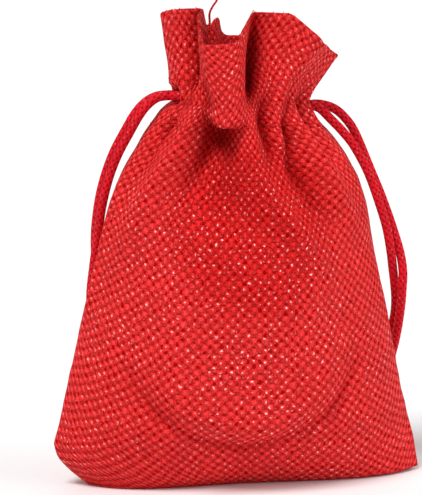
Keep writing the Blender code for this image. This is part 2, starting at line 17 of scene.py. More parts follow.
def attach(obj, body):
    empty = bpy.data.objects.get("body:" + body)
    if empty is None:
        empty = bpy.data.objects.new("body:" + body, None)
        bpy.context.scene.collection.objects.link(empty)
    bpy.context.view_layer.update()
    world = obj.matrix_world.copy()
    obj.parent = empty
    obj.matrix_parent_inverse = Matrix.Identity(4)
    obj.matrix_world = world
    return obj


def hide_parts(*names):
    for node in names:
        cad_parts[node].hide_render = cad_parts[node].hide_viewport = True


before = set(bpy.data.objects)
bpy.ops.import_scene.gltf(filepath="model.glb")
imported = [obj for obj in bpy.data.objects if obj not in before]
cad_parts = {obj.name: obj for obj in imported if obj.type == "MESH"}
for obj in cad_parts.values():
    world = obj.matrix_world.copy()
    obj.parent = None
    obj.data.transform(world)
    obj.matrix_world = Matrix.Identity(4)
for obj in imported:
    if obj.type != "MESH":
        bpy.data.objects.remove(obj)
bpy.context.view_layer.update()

bl_info = {
    "name": "Drawstring Pouch",
    "version": (1, 0, 0),
    "blender": (4, 5, 0),
    "location": "3D View > Sidebar > Pouch",
    "description": "Builds a gathered cloth pouch with two knotted drawstrings",
    "category": "Object",
}

BACKWARD = Vector((0.0, 1.0, 0.0))
UPWARD = Vector((0.0, 0.0, 1.0))

# Cloth and neck, as in the CAD model
CLOTH_THICKNESS = 0.0010
HEM_THICKNESS = 0.0017
CHANNEL_COVER = 0.0009
NECK_HEIGHT = 0.0996
CHANNEL_HALF_HEIGHT = 0.0041
RUFFLE_HEIGHT = 0.0236
NECK_LEFT = 0.0172
NECK_RIGHT = 0.0181
NECK_HALF_DEPTH = 0.0106
CHANNEL_FADE_DOWN = 0.0110
CHANNEL_FADE_UP = 0.0068
NECK_SHAPE = (2.0, 0.50)
SEAM_FADE = 0.12

# Drawstrings, as in the CAD model
CORD_CLEARANCE = 0.0005
CORD_STEP = 0.0030
LOOP_HALF_WIDTH = 0.0138
LOOP_HALF_DEPTH = 0.0074
LOOP_OPENING = 38.0
LOOP_STEPS = 22
STRAND_GAP = 0.0005
STRAND_SPREAD = 0.0009
SPREAD_END = 0.0020
SPACING_START = 0.0048
KNOT_HEIGHT = 0.0056
TOUCH_GAP = 0.0003

# Openings in the side seams where the strands leave the channel. Their half height is in cord
# diameters
EXIT_DEPTH = 0.0034
EXIT_HALF_WIDTH = 0.0036
EXIT_HALF_HEIGHT = 0.875

# Mesh density
FRONT_STEPS = 200
BACK_STEPS = 120
RUFFLE_STEPS = 34
INNER_RUFFLE_STEPS = 22
BODY_ROW_STEP = 0.0011
INNER_ROW_STEP = 0.0028
RIM_STEPS = 4
STITCH_POINTS = 520
CORD_SIDES = 16
STITCH_SIDES = 6
LOOSE_THREAD_SIDES = 8
FIBRE_SIDES = 5
CURVE_STEPS = 16
CORD_POINT_SPACING = 0.0011
THREAD_POINT_SPACING = 0.0005
FIBRE_POINT_SPACING = 0.0003

# Rings close together over the turn of the base, where the even ones start, and the rings that
# close the base outside and inside, as shares of the first ring
LOW_RINGS = (0.0, 0.0004, 0.0010, 0.0018, 0.0028)
FIRST_EVEN_RING = 0.0038
BASE_SHARES = (0.02, 0.30, 0.62, 0.86)
INNER_BASE_SHARES = (0.86, 0.5, 0.02)
RIM_SWELL = 0.00035

# The yarns: half a panel's width, passes that even them out up and across the cloth, and how
# far they keep to the mean height of a ring
PANEL_HALF_WIDTH = 0.050
YARN_PASSES_UP = 160
YARN_PASSES_ACROSS = 60
YARN_LEVEL_SHARE = 0.7

# The cross yarns run parallel to the bottom fold, which ends in the left and the right corner. A
# corner stands up from the base by this much cloth, so the yarns sag between the seams
LEFT_CORNER = 0.0120
RIGHT_CORNER = 0.0040
CORNER_POWER = 3

# Body sections: height, reach left, reach right, half depth, flatness, seam point
BODY_SECTIONS = (
    (0.0000, 0.0395, 0.0435, 0.0130, 3.0, 0.60),
    (0.0005, 0.0401, 0.0476, 0.0137, 3.0, 0.66),
    (0.0011, 0.0408, 0.0491, 0.0145, 3.0, 0.74),
    (0.0036, 0.0438, 0.0487, 0.0166, 3.0, 0.80),
    (0.0052, 0.0454, 0.0484, 0.0173, 2.9, 0.82),
    (0.0080, 0.0476, 0.0479, 0.0184, 2.8, 0.85),
    (0.0105, 0.0485, 0.0474, 0.0190, 2.7, 0.88),
    (0.0113, 0.0487, 0.0472, 0.0192, 2.7, 0.88),
    (0.0121, 0.0485, 0.0470, 0.0193, 2.7, 0.88),
    (0.0170, 0.0470, 0.0456, 0.0200, 2.5, 0.82),
    (0.0300, 0.0441, 0.0429, 0.0210, 2.3, 0.72),
    (0.0450, 0.0408, 0.0398, 0.0214, 2.1, 0.66),
    (0.0600, 0.0370, 0.0365, 0.0208, 2.0, 0.62),
    (0.0700, 0.0345, 0.0348, 0.0197, 2.0, 0.60),
    (0.0780, 0.0319, 0.0323, 0.0183, 2.0, 0.58),
    (0.0840, 0.0290, 0.0293, 0.0167, 2.0, 0.56),
    (0.0880, 0.0264, 0.0264, 0.0153, 2.0, 0.54),
    (0.0915, 0.0243, 0.0234, 0.0139, 2.0, 0.52),
    (0.0945, 0.0219, 0.0204, 0.0126, 2.0, 0.50),
    (0.0975, 0.0194, 0.0188, 0.0114, 2.0, 0.50),
    (NECK_HEIGHT, NECK_LEFT, NECK_RIGHT, NECK_HALF_DEPTH, *NECK_SHAPE),
)

# Ruffle sections in the same terms, each at a share of the way from the neck to the rim
RUFFLE_SECTIONS = (
    (0.00, NECK_LEFT, NECK_RIGHT, NECK_HALF_DEPTH, *NECK_SHAPE),
    (0.20, 0.0174, 0.0190, 0.0108, 2.0, 0.50),
    (0.45, 0.0183, 0.0212, 0.0113, 2.0, 0.60),
    (0.72, 0.0193, 0.0236, 0.0119, 2.0, 0.75),
    (1.00, 0.0203, 0.0258, 0.0126, 2.0, 0.90),
)

# Folds of the front: height from the neck, station from -1 at the left seam to 1 at the right one,
# rise of the cloth, and half width of the fold
FRONT_FOLDS = {
    "front tongue": (
        (-0.0062, -0.14, 0.0000, 0.06),
        (-0.0044, -0.14, 0.0044, 0.10),
        (-0.0020, -0.14, 0.0060, 0.13),
        (0.0020, -0.16, 0.0062, 0.15),
        (0.0080, -0.19, 0.0056, 0.18),
        (0.0240, -0.20, 0.0054, 0.20),
    ),
    "valley left of the tongue": (
        (-0.0120, -0.68, 0.0000, 0.06),
        (-0.0060, -0.65, -0.0016, 0.06),
        (0.0000, -0.61, -0.0006, 0.06),
        (0.0070, -0.55, -0.0060, 0.07),
        (0.0160, -0.51, -0.0062, 0.07),
        (0.0240, -0.47, -0.0044, 0.07),
    ),
    "valley right of the tongue": (
        (-0.0040, 0.00, 0.0000, 0.05),
        (0.0000, 0.01, -0.0006, 0.05),
        (0.0050, 0.05, -0.0066, 0.06),
        (0.0120, 0.09, -0.0088, 0.09),
        (0.0240, 0.11, -0.0060, 0.10),
    ),
    "right fan ridge": (
        (-0.0010, 0.30, 0.0000, 0.08),
        (0.0060, 0.38, 0.0018, 0.09),
        (0.0140, 0.46, 0.0026, 0.11),
        (0.0240, 0.57, 0.0020, 0.14),
    ),
    "right fan hollow": (
        (0.0040, 0.72, 0.0000, 0.12),
        (0.0120, 0.78, -0.0006, 0.12),
        (0.0240, 0.84, 0.0012, 0.12),
    ),
    "left pleat": (
        (-0.0460, -0.66, 0.0000, 0.14),
        (-0.0350, -0.62, 0.0012, 0.11),
        (-0.0240, -0.56, 0.0032, 0.09),
        (-0.0150, -0.48, 0.0046, 0.08),
        (-0.0080, -0.43, 0.0044, 0.07),
        (-0.0020, -0.40, 0.0020, 0.06),
        (0.0050, -0.40, 0.0000, 0.06),
    ),
    "hollow under the tongue": (
        (-0.0360, -0.16, 0.0000, 0.20),
        (-0.0270, -0.17, -0.0022, 0.17),
        (-0.0200, -0.18, -0.0046, 0.14),
        (-0.0140, -0.20, -0.0074, 0.12),
        (-0.0090, -0.21, -0.0090, 0.11),
        (-0.0064, -0.22, -0.0078, 0.10),
        (-0.0046, -0.23, -0.0014, 0.10),
        (-0.0036, -0.23, 0.0000, 0.10),
    ),
    "centre hollow": (
        (-0.0560, -0.08, 0.0000, 0.26),
        (-0.0360, -0.14, -0.0012, 0.20),
        (-0.0230, -0.15, -0.0014, 0.16),
        (-0.0150, -0.16, 0.0000, 0.14),
    ),
    "ridge right of centre": (
        (-0.0560, 0.36, 0.0000, 0.12),
        (-0.0445, 0.30, 0.0012, 0.11),
        (-0.0340, 0.22, 0.0028, 0.09),
        (-0.0240, 0.08, 0.0042, 0.08),
        (-0.0165, 0.02, 0.0050, 0.07),
        (-0.0060, 0.00, 0.0046, 0.06),
        (-0.0010, 0.01, 0.0016, 0.05),
        (0.0030, 0.02, 0.0000, 0.05),
    ),
    "short valley right of centre": (
        (-0.0180, 0.14, 0.0000, 0.06),
        (-0.0110, 0.14, -0.0030, 0.05),
        (-0.0060, 0.13, -0.0038, 0.05),
        (-0.0010, 0.15, -0.0020, 0.05),
        (0.0050, 0.16, 0.0000, 0.05),
    ),
    "ridge between the right valleys": (
        (-0.0200, 0.26, 0.0000, 0.06),
        (-0.0100, 0.24, 0.0022, 0.05),
        (-0.0030, 0.26, 0.0024, 0.05),
        (0.0040, 0.29, 0.0014, 0.05),
        (0.0100, 0.30, 0.0000, 0.05),
    ),
    "right shoulder ridge": (
        (-0.0380, 0.58, 0.0000, 0.12),
        (-0.0225, 0.48, 0.0030, 0.09),
        (-0.0115, 0.41, 0.0044, 0.07),
        (-0.0040, 0.41, 0.0028, 0.06),
        (0.0010, 0.41, 0.0010, 0.06),
        (0.0060, 0.44, 0.0000, 0.06),
    ),
    "outer valley on the right": (
        (-0.0200, 0.64, 0.0000, 0.08),
        (-0.0100, 0.58, -0.0026, 0.06),
        (-0.0040, 0.56, -0.0026, 0.05),
        (0.0010, 0.60, -0.0014, 0.05),
        (0.0070, 0.66, 0.0000, 0.06),
    ),
    "left shoulder hollow": (
        (-0.0280, -0.80, 0.0000, 0.08),
        (-0.0150, -0.72, -0.0018, 0.08),
        (-0.0080, -0.70, -0.0022, 0.07),
        (-0.0030, -0.68, 0.0000, 0.06),
    ),
    "valley between the left pleat and the tongue": (
        (-0.0300, -0.36, 0.0000, 0.08),
        (-0.0200, -0.34, -0.0022, 0.07),
        (-0.0120, -0.32, -0.0038, 0.06),
        (-0.0060, -0.31, -0.0034, 0.05),
        (-0.0010, -0.36, 0.0000, 0.05),
    ),
    "valley between the right ridges": (
        (-0.0360, 0.42, 0.0000, 0.08),
        (-0.0240, 0.32, -0.0026, 0.08),
        (-0.0150, 0.26, -0.0040, 0.06),
        (-0.0080, 0.29, -0.0034, 0.05),
        (-0.0020, 0.30, -0.0008, 0.05),
        (0.0010, 0.30, 0.0000, 0.05),
    ),
    "left seam ridge": (
        (-0.0640, -0.90, 0.0000, 0.06),
        (-0.0480, -0.89, 0.0010, 0.06),
        (-0.0280, -0.88, 0.0012, 0.06),
        (-0.0120, -0.87, 0.0000, 0.06),
    ),
    "pucker left of the tongue": (
        (-0.0070, -0.53, 0.0000, 0.04),
        (-0.0030, -0.52, 0.0016, 0.04),
        (0.0010, -0.50, 0.0012, 0.04),
        (0.0050, -0.47, 0.0000, 0.04),
    ),
    "pucker at the right seam": (
        (-0.0100, 0.74, 0.0000, 0.05),
        (-0.0040, 0.72, 0.0018, 0.05),
        (0.0010, 0.72, 0.0016, 0.05),
        (0.0070, 0.76, 0.0000, 0.06),
    ),
    "tuck at the base": (
        (-0.0996, 0.02, -0.0068, 0.66),
        (-0.0950, 0.02, -0.0056, 0.66),
        (-0.0880, 0.02, -0.0026, 0.66),
        (-0.0800, 0.02, 0.0000, 0.66),
    ),
    "crease over the base": (
        (-0.0960, -0.10, 0.0000, 0.60),
        (-0.0900, -0.10, -0.0008, 0.60),
        (-0.0820, -0.10, 0.0000, 0.60),
    ),
}

# Folds with a flat top and steep sides
FLAT_TOPPED = ("front tongue",)

# The tip of the tongue hangs over the hollow below it: how far, where, and between which heights
DROOP = 0.0021
DROOP_STATION = -0.15
DROOP_HALF_WIDTH = 0.14
DROOP_FROM = -0.0058
DROOP_FULL = -0.0036
DROOP_END = 0.0070

# Folds of the back, with stations from -1 at the left seam to 1 at the right one
BACK_FOLDS = {
    "left back ridge": (
        (-0.0520, -0.60, 0.0000, 0.14),
        (-0.0300, -0.52, 0.0014, 0.12),
        (-0.0120, -0.46, 0.0022, 0.09),
        (0.0000, -0.42, 0.0016, 0.07),
        (0.0100, -0.44, 0.0018, 0.10),
        (0.0240, -0.50, 0.0022, 0.14),
    ),
    "back valley left": (
        (-0.0260, -0.26, 0.0000, 0.10),
        (-0.0120, -0.24, -0.0020, 0.08),
        (0.0000, -0.22, -0.0006, 0.06),
        (0.0120, -0.20, -0.0030, 0.08),
        (0.0240, -0.18, -0.0022, 0.10),
    ),
    "middle back ridge": (
        (-0.0560, 0.06, 0.0000, 0.18),
        (-0.0300, 0.02, 0.0014, 0.14),
        (-0.0120, 0.00, 0.0022, 0.10),
        (0.0000, 0.00, 0.0018, 0.08),
        (0.0120, 0.02, 0.0018, 0.11),
        (0.0240, 0.04, 0.0020, 0.14),
    ),
    "back valley right": (
        (-0.0300, 0.28, 0.0000, 0.10),
        (-0.0140, 0.25, -0.0022, 0.08),
        (0.0000, 0.24, -0.0006, 0.06),
        (0.0120, 0.27, -0.0034, 0.09),
        (0.0240, 0.30, -0.0024, 0.10),
    ),
    "right back ridge": (
        (-0.0500, 0.66, 0.0000, 0.14),
        (-0.0280, 0.56, 0.0012, 0.12),
        (-0.0120, 0.50, 0.0020, 0.09),
        (0.0000, 0.48, 0.0016, 0.07),
        (0.0120, 0.52, 0.0014, 0.10),
        (0.0240, 0.58, 0.0018, 0.13),
    ),
}

# The rim: station, and how far it lies below the full height of the ruffle
FRONT_RIM = (
    (-1.00, 0.0016), (-0.72, 0.0006), (-0.50, 0.0002), (-0.385, 0.0020), (-0.335, 0.0060),
    (-0.30, 0.0090), (-0.10, 0.0084), (-0.05, 0.0052), (0.03, 0.0026), (0.11, 0.0012),
    (0.29, 0.0014), (0.37, 0.0034), (0.45, 0.0066), (0.52, 0.0091), (0.60, 0.0093),
    (0.70, 0.0103), (1.00, 0.0126),
)
BACK_RIM = (
    (-1.00, 0.0016), (-0.60, 0.0020), (-0.35, 0.0048), (-0.21, 0.0048), (-0.16, 0.0034),
    (-0.11, 0.0030), (-0.07, 0.0064), (0.00, 0.0078), (0.12, 0.0078), (0.40, 0.0060),
    (0.70, 0.0104), (1.00, 0.0126),
)

# The small gathers that the cords draw all round the neck. Slow waves change their size (times
# round, start, strength) and their place (times round, strength)
GATHERS_ROUND = 26
GATHER_RISE = 0.0009
GATHER_REACH = 0.0160
GATHER_MEAN = 0.75
GATHER_SIZES = ((5.0, 0.8, 0.35), (11.0, 2.0, 0.20))
GATHER_SHIFTS = ((3.0, 0.9), (7.0, 0.6))

# The contents press a soft rounded bulge into the front. Its lower edge is steep and its top edge
# soft, with the change between them just below its middle, and a crease runs round the lower edge
BULGE_STATION = -0.02
BULGE_HEIGHT = 0.0380
BULGE_HALF_WIDTH = 0.50
BULGE_HALF_HEIGHT = 0.0262
BULGE_RISE = 0.0031
BULGE_EDGE = 0.24
BULGE_TOP_EDGE = 0.62
BULGE_ROUNDNESS = 1.6
BULGE_TOP_STRETCH = 0.55
BULGE_LOWER_AT_MIDDLE = 0.3
BULGE_LOWER_SLOPE = 1.2
CREASE_DEPTH = 0.0009
CREASE_HALF_WIDTH = 0.075

# Cloth that lies deep in a fold is darkened as painted shade: passes that smooth the run of the
# cloth across and up, the depth below it that counts in full, and the painted shade of the base,
# the rim and the inside
FOLD_PASSES_ACROSS = 70
FOLD_PASSES_UP = 16
FOLD_DEPTH = 0.0016
INSIDE_PAINTED_SHADE = 0.55

# Soft dents and swells all over the cloth, large and small, which fade out towards the floor
DENT_SCALE = 95.0
SMALL_DENT_SCALE = 240.0
SMALL_DENT_SHARE = 0.5
DENT_FADE = 0.006

# The right seam of the ruffle leans forward
LEAN_FORWARD = 0.0050
LEAN_FROM = 0.0080
LEAN_TO = 0.0240
LEAN_RISE = 0.0150

# Cord routes outside the channel, from the exit to the knot: the front and the back strand
LEFT_ROUTE = (
    ((-0.0214, -0.0015, 0.1006), (-0.0214, 0.0015, 0.1007)),
    ((-0.0240, -0.0014, 0.0986), (-0.0242, 0.0017, 0.0990)),
    ((-0.0261, -0.0012, 0.0958), (-0.0266, 0.0020, 0.0962)),
    ((-0.0282, -0.0008, 0.0920), (-0.0288, 0.0024, 0.0924)),
    ((-0.0312, 0.0002, 0.0862), (-0.0318, 0.0033, 0.0866)),
    ((-0.0335, 0.0014, 0.0798), (-0.0341, 0.0045, 0.0800)),
    ((-0.0351, 0.0028, 0.0726), (-0.0356, 0.0060, 0.0728)),
    ((-0.0360, 0.0054, 0.0642), (-0.0362, 0.0086, 0.0642)),
    ((-0.0368, 0.0080, 0.0560), (-0.0357, 0.0110, 0.0560)),
    ((-0.0374, 0.0098, 0.0480), (-0.0347, 0.0120, 0.0480)),
    ((-0.0366, 0.0114, 0.0400), (-0.0337, 0.0132, 0.0400)),
    ((-0.0357, 0.0128, 0.0320), (-0.0328, 0.0147, 0.0320)),
    ((-0.0350, 0.0139, 0.0250), (-0.0321, 0.0155, 0.0250)),
)
RIGHT_ROUTE = (
    ((0.0211, -0.0017, 0.0974), (0.0218, 0.0015, 0.0982)),
    ((0.0240, -0.0020, 0.0946), (0.0258, 0.0016, 0.0970)),
    ((0.0274, -0.0021, 0.0911), (0.0290, 0.0014, 0.0942)),
    ((0.0304, -0.0022, 0.0873), (0.0316, 0.0012, 0.0902)),
    ((0.0341, -0.0021, 0.0806), (0.0356, 0.0013, 0.0810)),
    ((0.0370, -0.0019, 0.0731), (0.0386, 0.0013, 0.0740)),
    ((0.0394, -0.0014, 0.0660), (0.0414, 0.0011, 0.0664)),
    ((0.0409, -0.0006, 0.0592), (0.0436, 0.0006, 0.0592)),
    ((0.0419, 0.0012, 0.0548), (0.0443, -0.0003, 0.0540)),
    ((0.0430, 0.0031, 0.0500), (0.0443, 0.0000, 0.0496)),
    ((0.0439, 0.0052, 0.0450), (0.0444, 0.0016, 0.0444)),
    ((0.0442, 0.0078, 0.0400), (0.0445, 0.0042, 0.0392)),
    ((0.0436, 0.0106, 0.0342), (0.0444, 0.0074, 0.0334)),
    ((0.0420, 0.0126, 0.0288), (0.0437, 0.0096, 0.0284)),
    ((0.0394, 0.0138, 0.0232), (0.0419, 0.0110, 0.0230)),
    ((0.0366, 0.0132, 0.0184), (0.0394, 0.0122, 0.0184)),
)
LEFT_KNOT = (-0.0336, 0.0162, 0.0150)
RIGHT_KNOT = (0.0366, 0.0146, 0.0110)
SIDES = (("left", -1, LEFT_ROUTE, LEFT_KNOT), ("right", 1, RIGHT_ROUTE, RIGHT_KNOT))

# The overhand knots: the wrap round the two strands, whose ends taper, and how thick the wrap
# and the strands are as shares of the cord
WRAP_TURNS = 1.75
WRAP_STEPS = 46
WRAP_TILT = 16.0
WRAP_RADIUS = 0.00225
WRAP_TAPER = 0.0006
WRAP_FLATNESS = 0.80
WRAP_HEIGHT = 0.0032
WRAP_THICKNESS = 0.94
STRAND_THICKNESS = 0.97

# One strand's way through its knot to its cut end: outward, back and up from the middle. Its
# last points swell by these shares
KNOT_STRAND = (
    (0.00125, 0.0000, 0.0031),
    (0.00095, 0.0000, 0.0016),
    (0.00070, 0.0000, 0.0000),
    (0.00115, 0.0002, -0.0020),
    (0.00195, 0.0003, -0.0040),
    (0.00262, 0.0002, -0.0056),
    (0.00300, 0.0000, -0.0064),
)
CUT_END_SIZES = (1.03, 1.12, 1.08)

# The two rows of stitches, from the neck's height, the gap between two stitches as a share of
# their length, and the size of a stitch's ends
STITCH_ROWS = (-0.0056, 0.0058)
STITCH_GAP = 0.28
STITCH_END_SIZE = 0.4

# The neck and ruffle are about this many times as wide as deep
WIDTH_TO_DEPTH = 2.0

# Short fibres along the rim: least and greatest depth of their roots, rise, length and radius,
# and their bend as a share of their length
FIBRE_SEED = 7
FIBRE_ABOVE_RIM = 0.0001
FIBRE_DEPTHS = (0.0007, 0.0015)
FIBRE_RISES = (0.3, 1.3)
FIBRE_LENGTHS = (0.0004, 0.0009)
FIBRE_RADII = (0.00007, 0.00013)
FIBRE_BEND = 0.4

# The long thread that stands up from the rim
LOOSE_THREAD_RADIUS = 0.00030
LOOSE_THREAD = (
    (-0.0068, 0.0030, 0.1170),
    (-0.0069, 0.0026, 0.1196),
    (-0.0071, 0.0016, 0.1218),
    (-0.0064, 0.0010, 0.1236),
    (-0.0054, 0.0006, 0.1252),
    (-0.0053, 0.0004, 0.1272),
)

# How the yarns of a weave or braid lie: depth of a sunk yarn, least and added strength of a
# sunk crossing's pit, which is darkened as painted shade, and between which values holes, sunk
# crossings and crowns fade in
SINK_DEPTH = 0.34
SINK_LEAST = 0.68
SINK_SPREAD = 0.40
HOLE_RANGE = (0.28, 0.72)
SUNK_RANGE = (-0.08, -0.46)
CROWN_RANGE = (0.10, 0.80)

# A fleck of light: how far the crossing's middle lies beside it, the spread of that, and between
# which squared distances it fades out
FLECK_PLACE = (-0.14, -0.30)
FLECK_SPREAD = 0.40
FLECK_RANGE = (0.006, 0.044)

# Painted light on the upright yarns, which pass over the sunk level yarns, and how much each
# crossing may be lighter at random
UPRIGHT_PAINTED_LIGHT = 0.98
SHADE_SPREAD = 0.16

# The cloth's weave and the cord's braid, as inputs of the Interlace group
WEAVE = {
    "Roundness": 0.7,
    "Wave": 0.5,
    "Sink": 1.0,
    "Corner Holes": 0.15,
    "Level Painted Shade": 0.90,
    "Glint Share": 0.75,
}
BRAID = {"Roundness": 0.8, "Wave": 0.45, "Glint Share": 0.35}

# The yarns wander slowly and are ragged, by shares of their pitch. Scales are for the columns
# and the rows
WANDER_SHARE = 0.95
WANDER_SCALES = (260.0, 310.0)
RAGGED_SHARE = 0.80
RAGGED_SCALES = (1500.0, 1300.0)

# Fine fibres streak the yarns, between a least shade and that and the spread
STREAK_SCALE = 2600.0
STREAK_RANGE = (0.34, 0.66)
STREAK_LEAST = 0.66
STREAK_SPREAD = 0.62
STREAK_RELIEF = 0.10
# How strongly the painted highlight on the crowns and the painted shade in the pits show
CROWN_HIGHLIGHT_STRENGTH = 0.28
PIT_SHADE_STRENGTH = 0.95

# The cloth's colour is multiplied by these as painted shadow just below the neck and painted shade
# deep in a fold
NECK_PAINTED_SHADOW = (0.86, 0.46, 0.46, 1.0)
FOLD_PAINTED_SHADE = (0.60, 0.22, 0.22, 1.0)

# Ovals on the front: height of the middle, half width, half height, and softness of the edge.
# They end towards the sides, between two depths
# The first oval is darkened as painted shadow under the gathered neck
NECK_SHADOW_OVAL = (0.068, 0.019, 0.022, 0.60)
OVAL_STRETCHED = (0.046, 0.026, 0.036, 0.20)
OVAL_DEPTHS = (-0.004, -0.012)

# Flecks show more in some patches than in others, and more where the front is stretched
PATCH_SCALE = 55.0
PATCH_RANGE = (0.40, 0.68)
PATCH_LEAST = 0.20
PATCH_SPREAD = 0.80
STRETCHED_SHARE = 0.55

# The matt surface of every textile, and the soft sheen of the cloth
SPECULAR = 0.05
SHEEN = {
    "Sheen Weight": 0.05,
    "Sheen Roughness": 0.35,
    "Sheen Tint": (1.0, 0.42, 0.40, 1.0),
}

# Slow changes of shade: their scale, and how strong they are
CLOTH_DYE = (70.0, 0.30)
CORD_DYE = (110.0, 0.35)
THREAD_DYE = (120.0, 0.30)
FLOOR_DYE = (3.0, 0.02)

# Roughness outside the pits, and how much rougher the pits are
WEAVE_ROUGHNESS = (0.46, 0.30)
BRAID_ROUGHNESS = (0.42, 0.25)

# Drawstrings and threads
BRAID_PIT_SHADE_STRENGTH = 0.75
BRAID_GLINT_STRENGTH = 0.45
BRAID_GLINT = (0.95, 0.30, 0.26, 1.0)
BRAID_RELIEF = 0.00028
THREAD_TWIST = 9000.0
# The grooves of the thread's twist are darkened as painted shade
THREAD_GROOVE = (-0.2, -1.0)
THREAD_RELIEF = 0.00006

# The soft lights: name, where it comes from, how wide it is in degrees, and its share of the
# key light's strength
LIGHTS = (
    ("key_light", (-0.45, -0.40, 1.00), 22.0, 1.00),
    ("fill_light", (0.90, -0.40, 0.45), 50.0, 0.50),
    ("back_light", (0.20, 0.80, 0.70), 60.0, 0.20),
)

# Camera: the photograph's angle, distance, scale at the target and principal point, in pixels
IMAGE_WIDTH = 422
IMAGE_HEIGHT = 495
CAMERA_AZIMUTH = -11.0
CAMERA_ELEVATION = 8.0
CAMERA_DISTANCE = 0.55
CAMERA_TARGET = (0.0, 0.0, 0.0625)
PIXELS_PER_MM = 3.85
CENTRE_ACROSS = 238.0
CENTRE_DOWN = 243.0
SENSOR_HEIGHT = 24.0


class ClothSettings(bpy.types.PropertyGroup):
    column_pitch: bpy.props.FloatProperty(
        name="Column pitch", description="Distance between upright yarns",
        default=0.00136, min=0.0002, unit="LENGTH", precision=5,
    )
    row_pitch: bpy.props.FloatProperty(
        name="Row pitch", description="Distance between cross yarns",
        default=0.00125, min=0.0002, unit="LENGTH", precision=5,
    )
    relief: bpy.props.FloatProperty(
        name="Relief", description="Depth of the weave from crown to pit",
        default=0.00045, min=0.0, unit="LENGTH", precision=5,
    )
    unevenness: bpy.props.FloatProperty(
        name="Unevenness", description="Soft dents and swells all over the cloth",
        default=0.00030, min=0.0, unit="LENGTH", precision=5,
    )
    yarn_colour: bpy.props.FloatVectorProperty(
        name="Yarn", description="Colour of the yarn",
        default=(0.790, 0.026, 0.027), subtype="COLOR", min=0.0, max=1.0,
    )
    # Painted shade in the holes and sunk crossings between the yarns, and in the grooves of the
    # sewing thread
    pit_shade_colour: bpy.props.FloatVectorProperty(
        name="Pits", description="Colour of the holes between the yarns",
        default=(0.340, 0.001, 0.001), subtype="COLOR", min=0.0, max=1.0,
    )
    # Painted highlight: the yarn is lighter where it passes over another
    crown_highlight_colour: bpy.props.FloatVectorProperty(
        name="Crowns", description="Colour of the yarn where it passes over another",
        default=(1.000, 0.125, 0.125), subtype="COLOR", min=0.0, max=1.0,
    )
    glint_colour: bpy.props.FloatVectorProperty(
        name="Glints", description="Colour of the shiny flecks on the yarn",
        default=(1.000, 0.600, 0.580), subtype="COLOR", min=0.0, max=1.0,
    )
    flat_width: bpy.props.FloatProperty(
        name="Flat width", description="Both panels of the cloth laid side by side",
        default=0.200, unit="LENGTH",
    )
    flat_height: bpy.props.FloatProperty(
        name="Flat height", description="Height of the cloth from its bottom fold to the rim",
        default=0.145, unit="LENGTH",
    )


class CordSettings(bpy.types.PropertyGroup):
    diameter: bpy.props.FloatProperty(
        name="Diameter", description="Thickness of the braided cord",
        default=0.0024, min=0.0005, unit="LENGTH", precision=5,
    )
    strands_round: bpy.props.IntProperty(
        name="Strands round", description="Crossings of the braid round the cord",
        default=5, min=3, max=12,
    )
    braid_pitch: bpy.props.FloatProperty(
        name="Braid pitch", description="Length of one crossing of the braid along the cord",
        default=0.0019, min=0.0003, unit="LENGTH", precision=5,
    )
    colour: bpy.props.FloatVectorProperty(
        name="Cord", description="Colour of the braided cord",
        default=(0.720, 0.012, 0.024), subtype="COLOR", min=0.0, max=1.0,
    )
    # Painted shade in the grooves between the strands of the braid
    shade_colour: bpy.props.FloatVectorProperty(
        name="Grooves", description="Colour between the strands of the braid",
        default=(0.190, 0.001, 0.005), subtype="COLOR", min=0.0, max=1.0,
    )


class ThreadSettings(bpy.types.PropertyGroup):
    stitch_length: bpy.props.FloatProperty(
        name="Stitch", description="Length of one stitch beside the channel",
        default=0.0024, min=0.0005, unit="LENGTH", precision=5,
    )
    thickness: bpy.props.FloatProperty(
        name="Thickness", description="Thickness of the sewing thread",
        default=0.00034, min=0.0001, unit="LENGTH", precision=5,
    )
    fibres: bpy.props.IntProperty(
        name="Fibres", description="Number of short loose fibres along the rim",
        default=44, min=0, max=400,
    )


class StageSettings(bpy.types.PropertyGroup):
    floor_size: bpy.props.FloatProperty(
        name="Floor", description="Width of the pale floor", default=14.0, unit="LENGTH",
    )
    floor_colour: bpy.props.FloatVectorProperty(
        name="Floor colour", description="Colour of the floor",
        default=(0.840, 0.840, 0.840), subtype="COLOR", min=0.0, max=1.0,
    )
    sky_strength: bpy.props.FloatProperty(
        name="Sky", description="Strength of the even light all round", default=0.32, min=0.0,
    )
    key_strength: bpy.props.FloatProperty(
        name="Key light", description="Strength of the soft main light", default=2.60, min=0.0,
    )


def smooth_step(value):
    value = np.clip(value, 0.0, 1.0)
    return value * value * (3.0 - 2.0 * value)


def even_slopes(places, values):
    """Slopes at a table's rows that give one smooth curve without overshoot."""
    steps = np.diff(places)[:, None]
    secants = np.diff(values, axis=0) / steps
    slopes = np.zeros_like(values)
    before = secants[:-1]
    after = secants[1:]
    same = before * after > 0.0
    total = np.where(same, before + after, 1.0)
    slopes[1:-1] = np.where(same, 2.0 * before * after / total, 0.0)
    slopes[0] = secants[0]
    slopes[-1] = secants[-1]
    return slopes


def along(table, positions, flat_ends=False):
    """The columns of a table at many positions, on a smooth curve through its rows."""
    table = np.array(table, float)
    places = table[:, 0]
    values = table[:, 1:]
    slopes = even_slopes(places, values)
    if flat_ends:
        slopes[0] = 0.0
        slopes[-1] = 0.0
    positions = np.clip(positions, places[0], places[-1])
    row = np.clip(np.searchsorted(places, positions, side="right") - 1, 0, len(places) - 2)
    step = (places[row + 1] - places[row])[..., None]
    share = (positions - places[row])[..., None] / step
    squared = share * share
    cubed = squared * share
    found = (
        (2 * cubed - 3 * squared + 1) * values[row]
        + (cubed - 2 * squared + share) * step * slopes[row]
        + (3 * squared - 2 * cubed) * values[row + 1]
        + (cubed - squared) * step * slopes[row + 1]
    )
    return [found[..., column] for column in range(values.shape[1])]


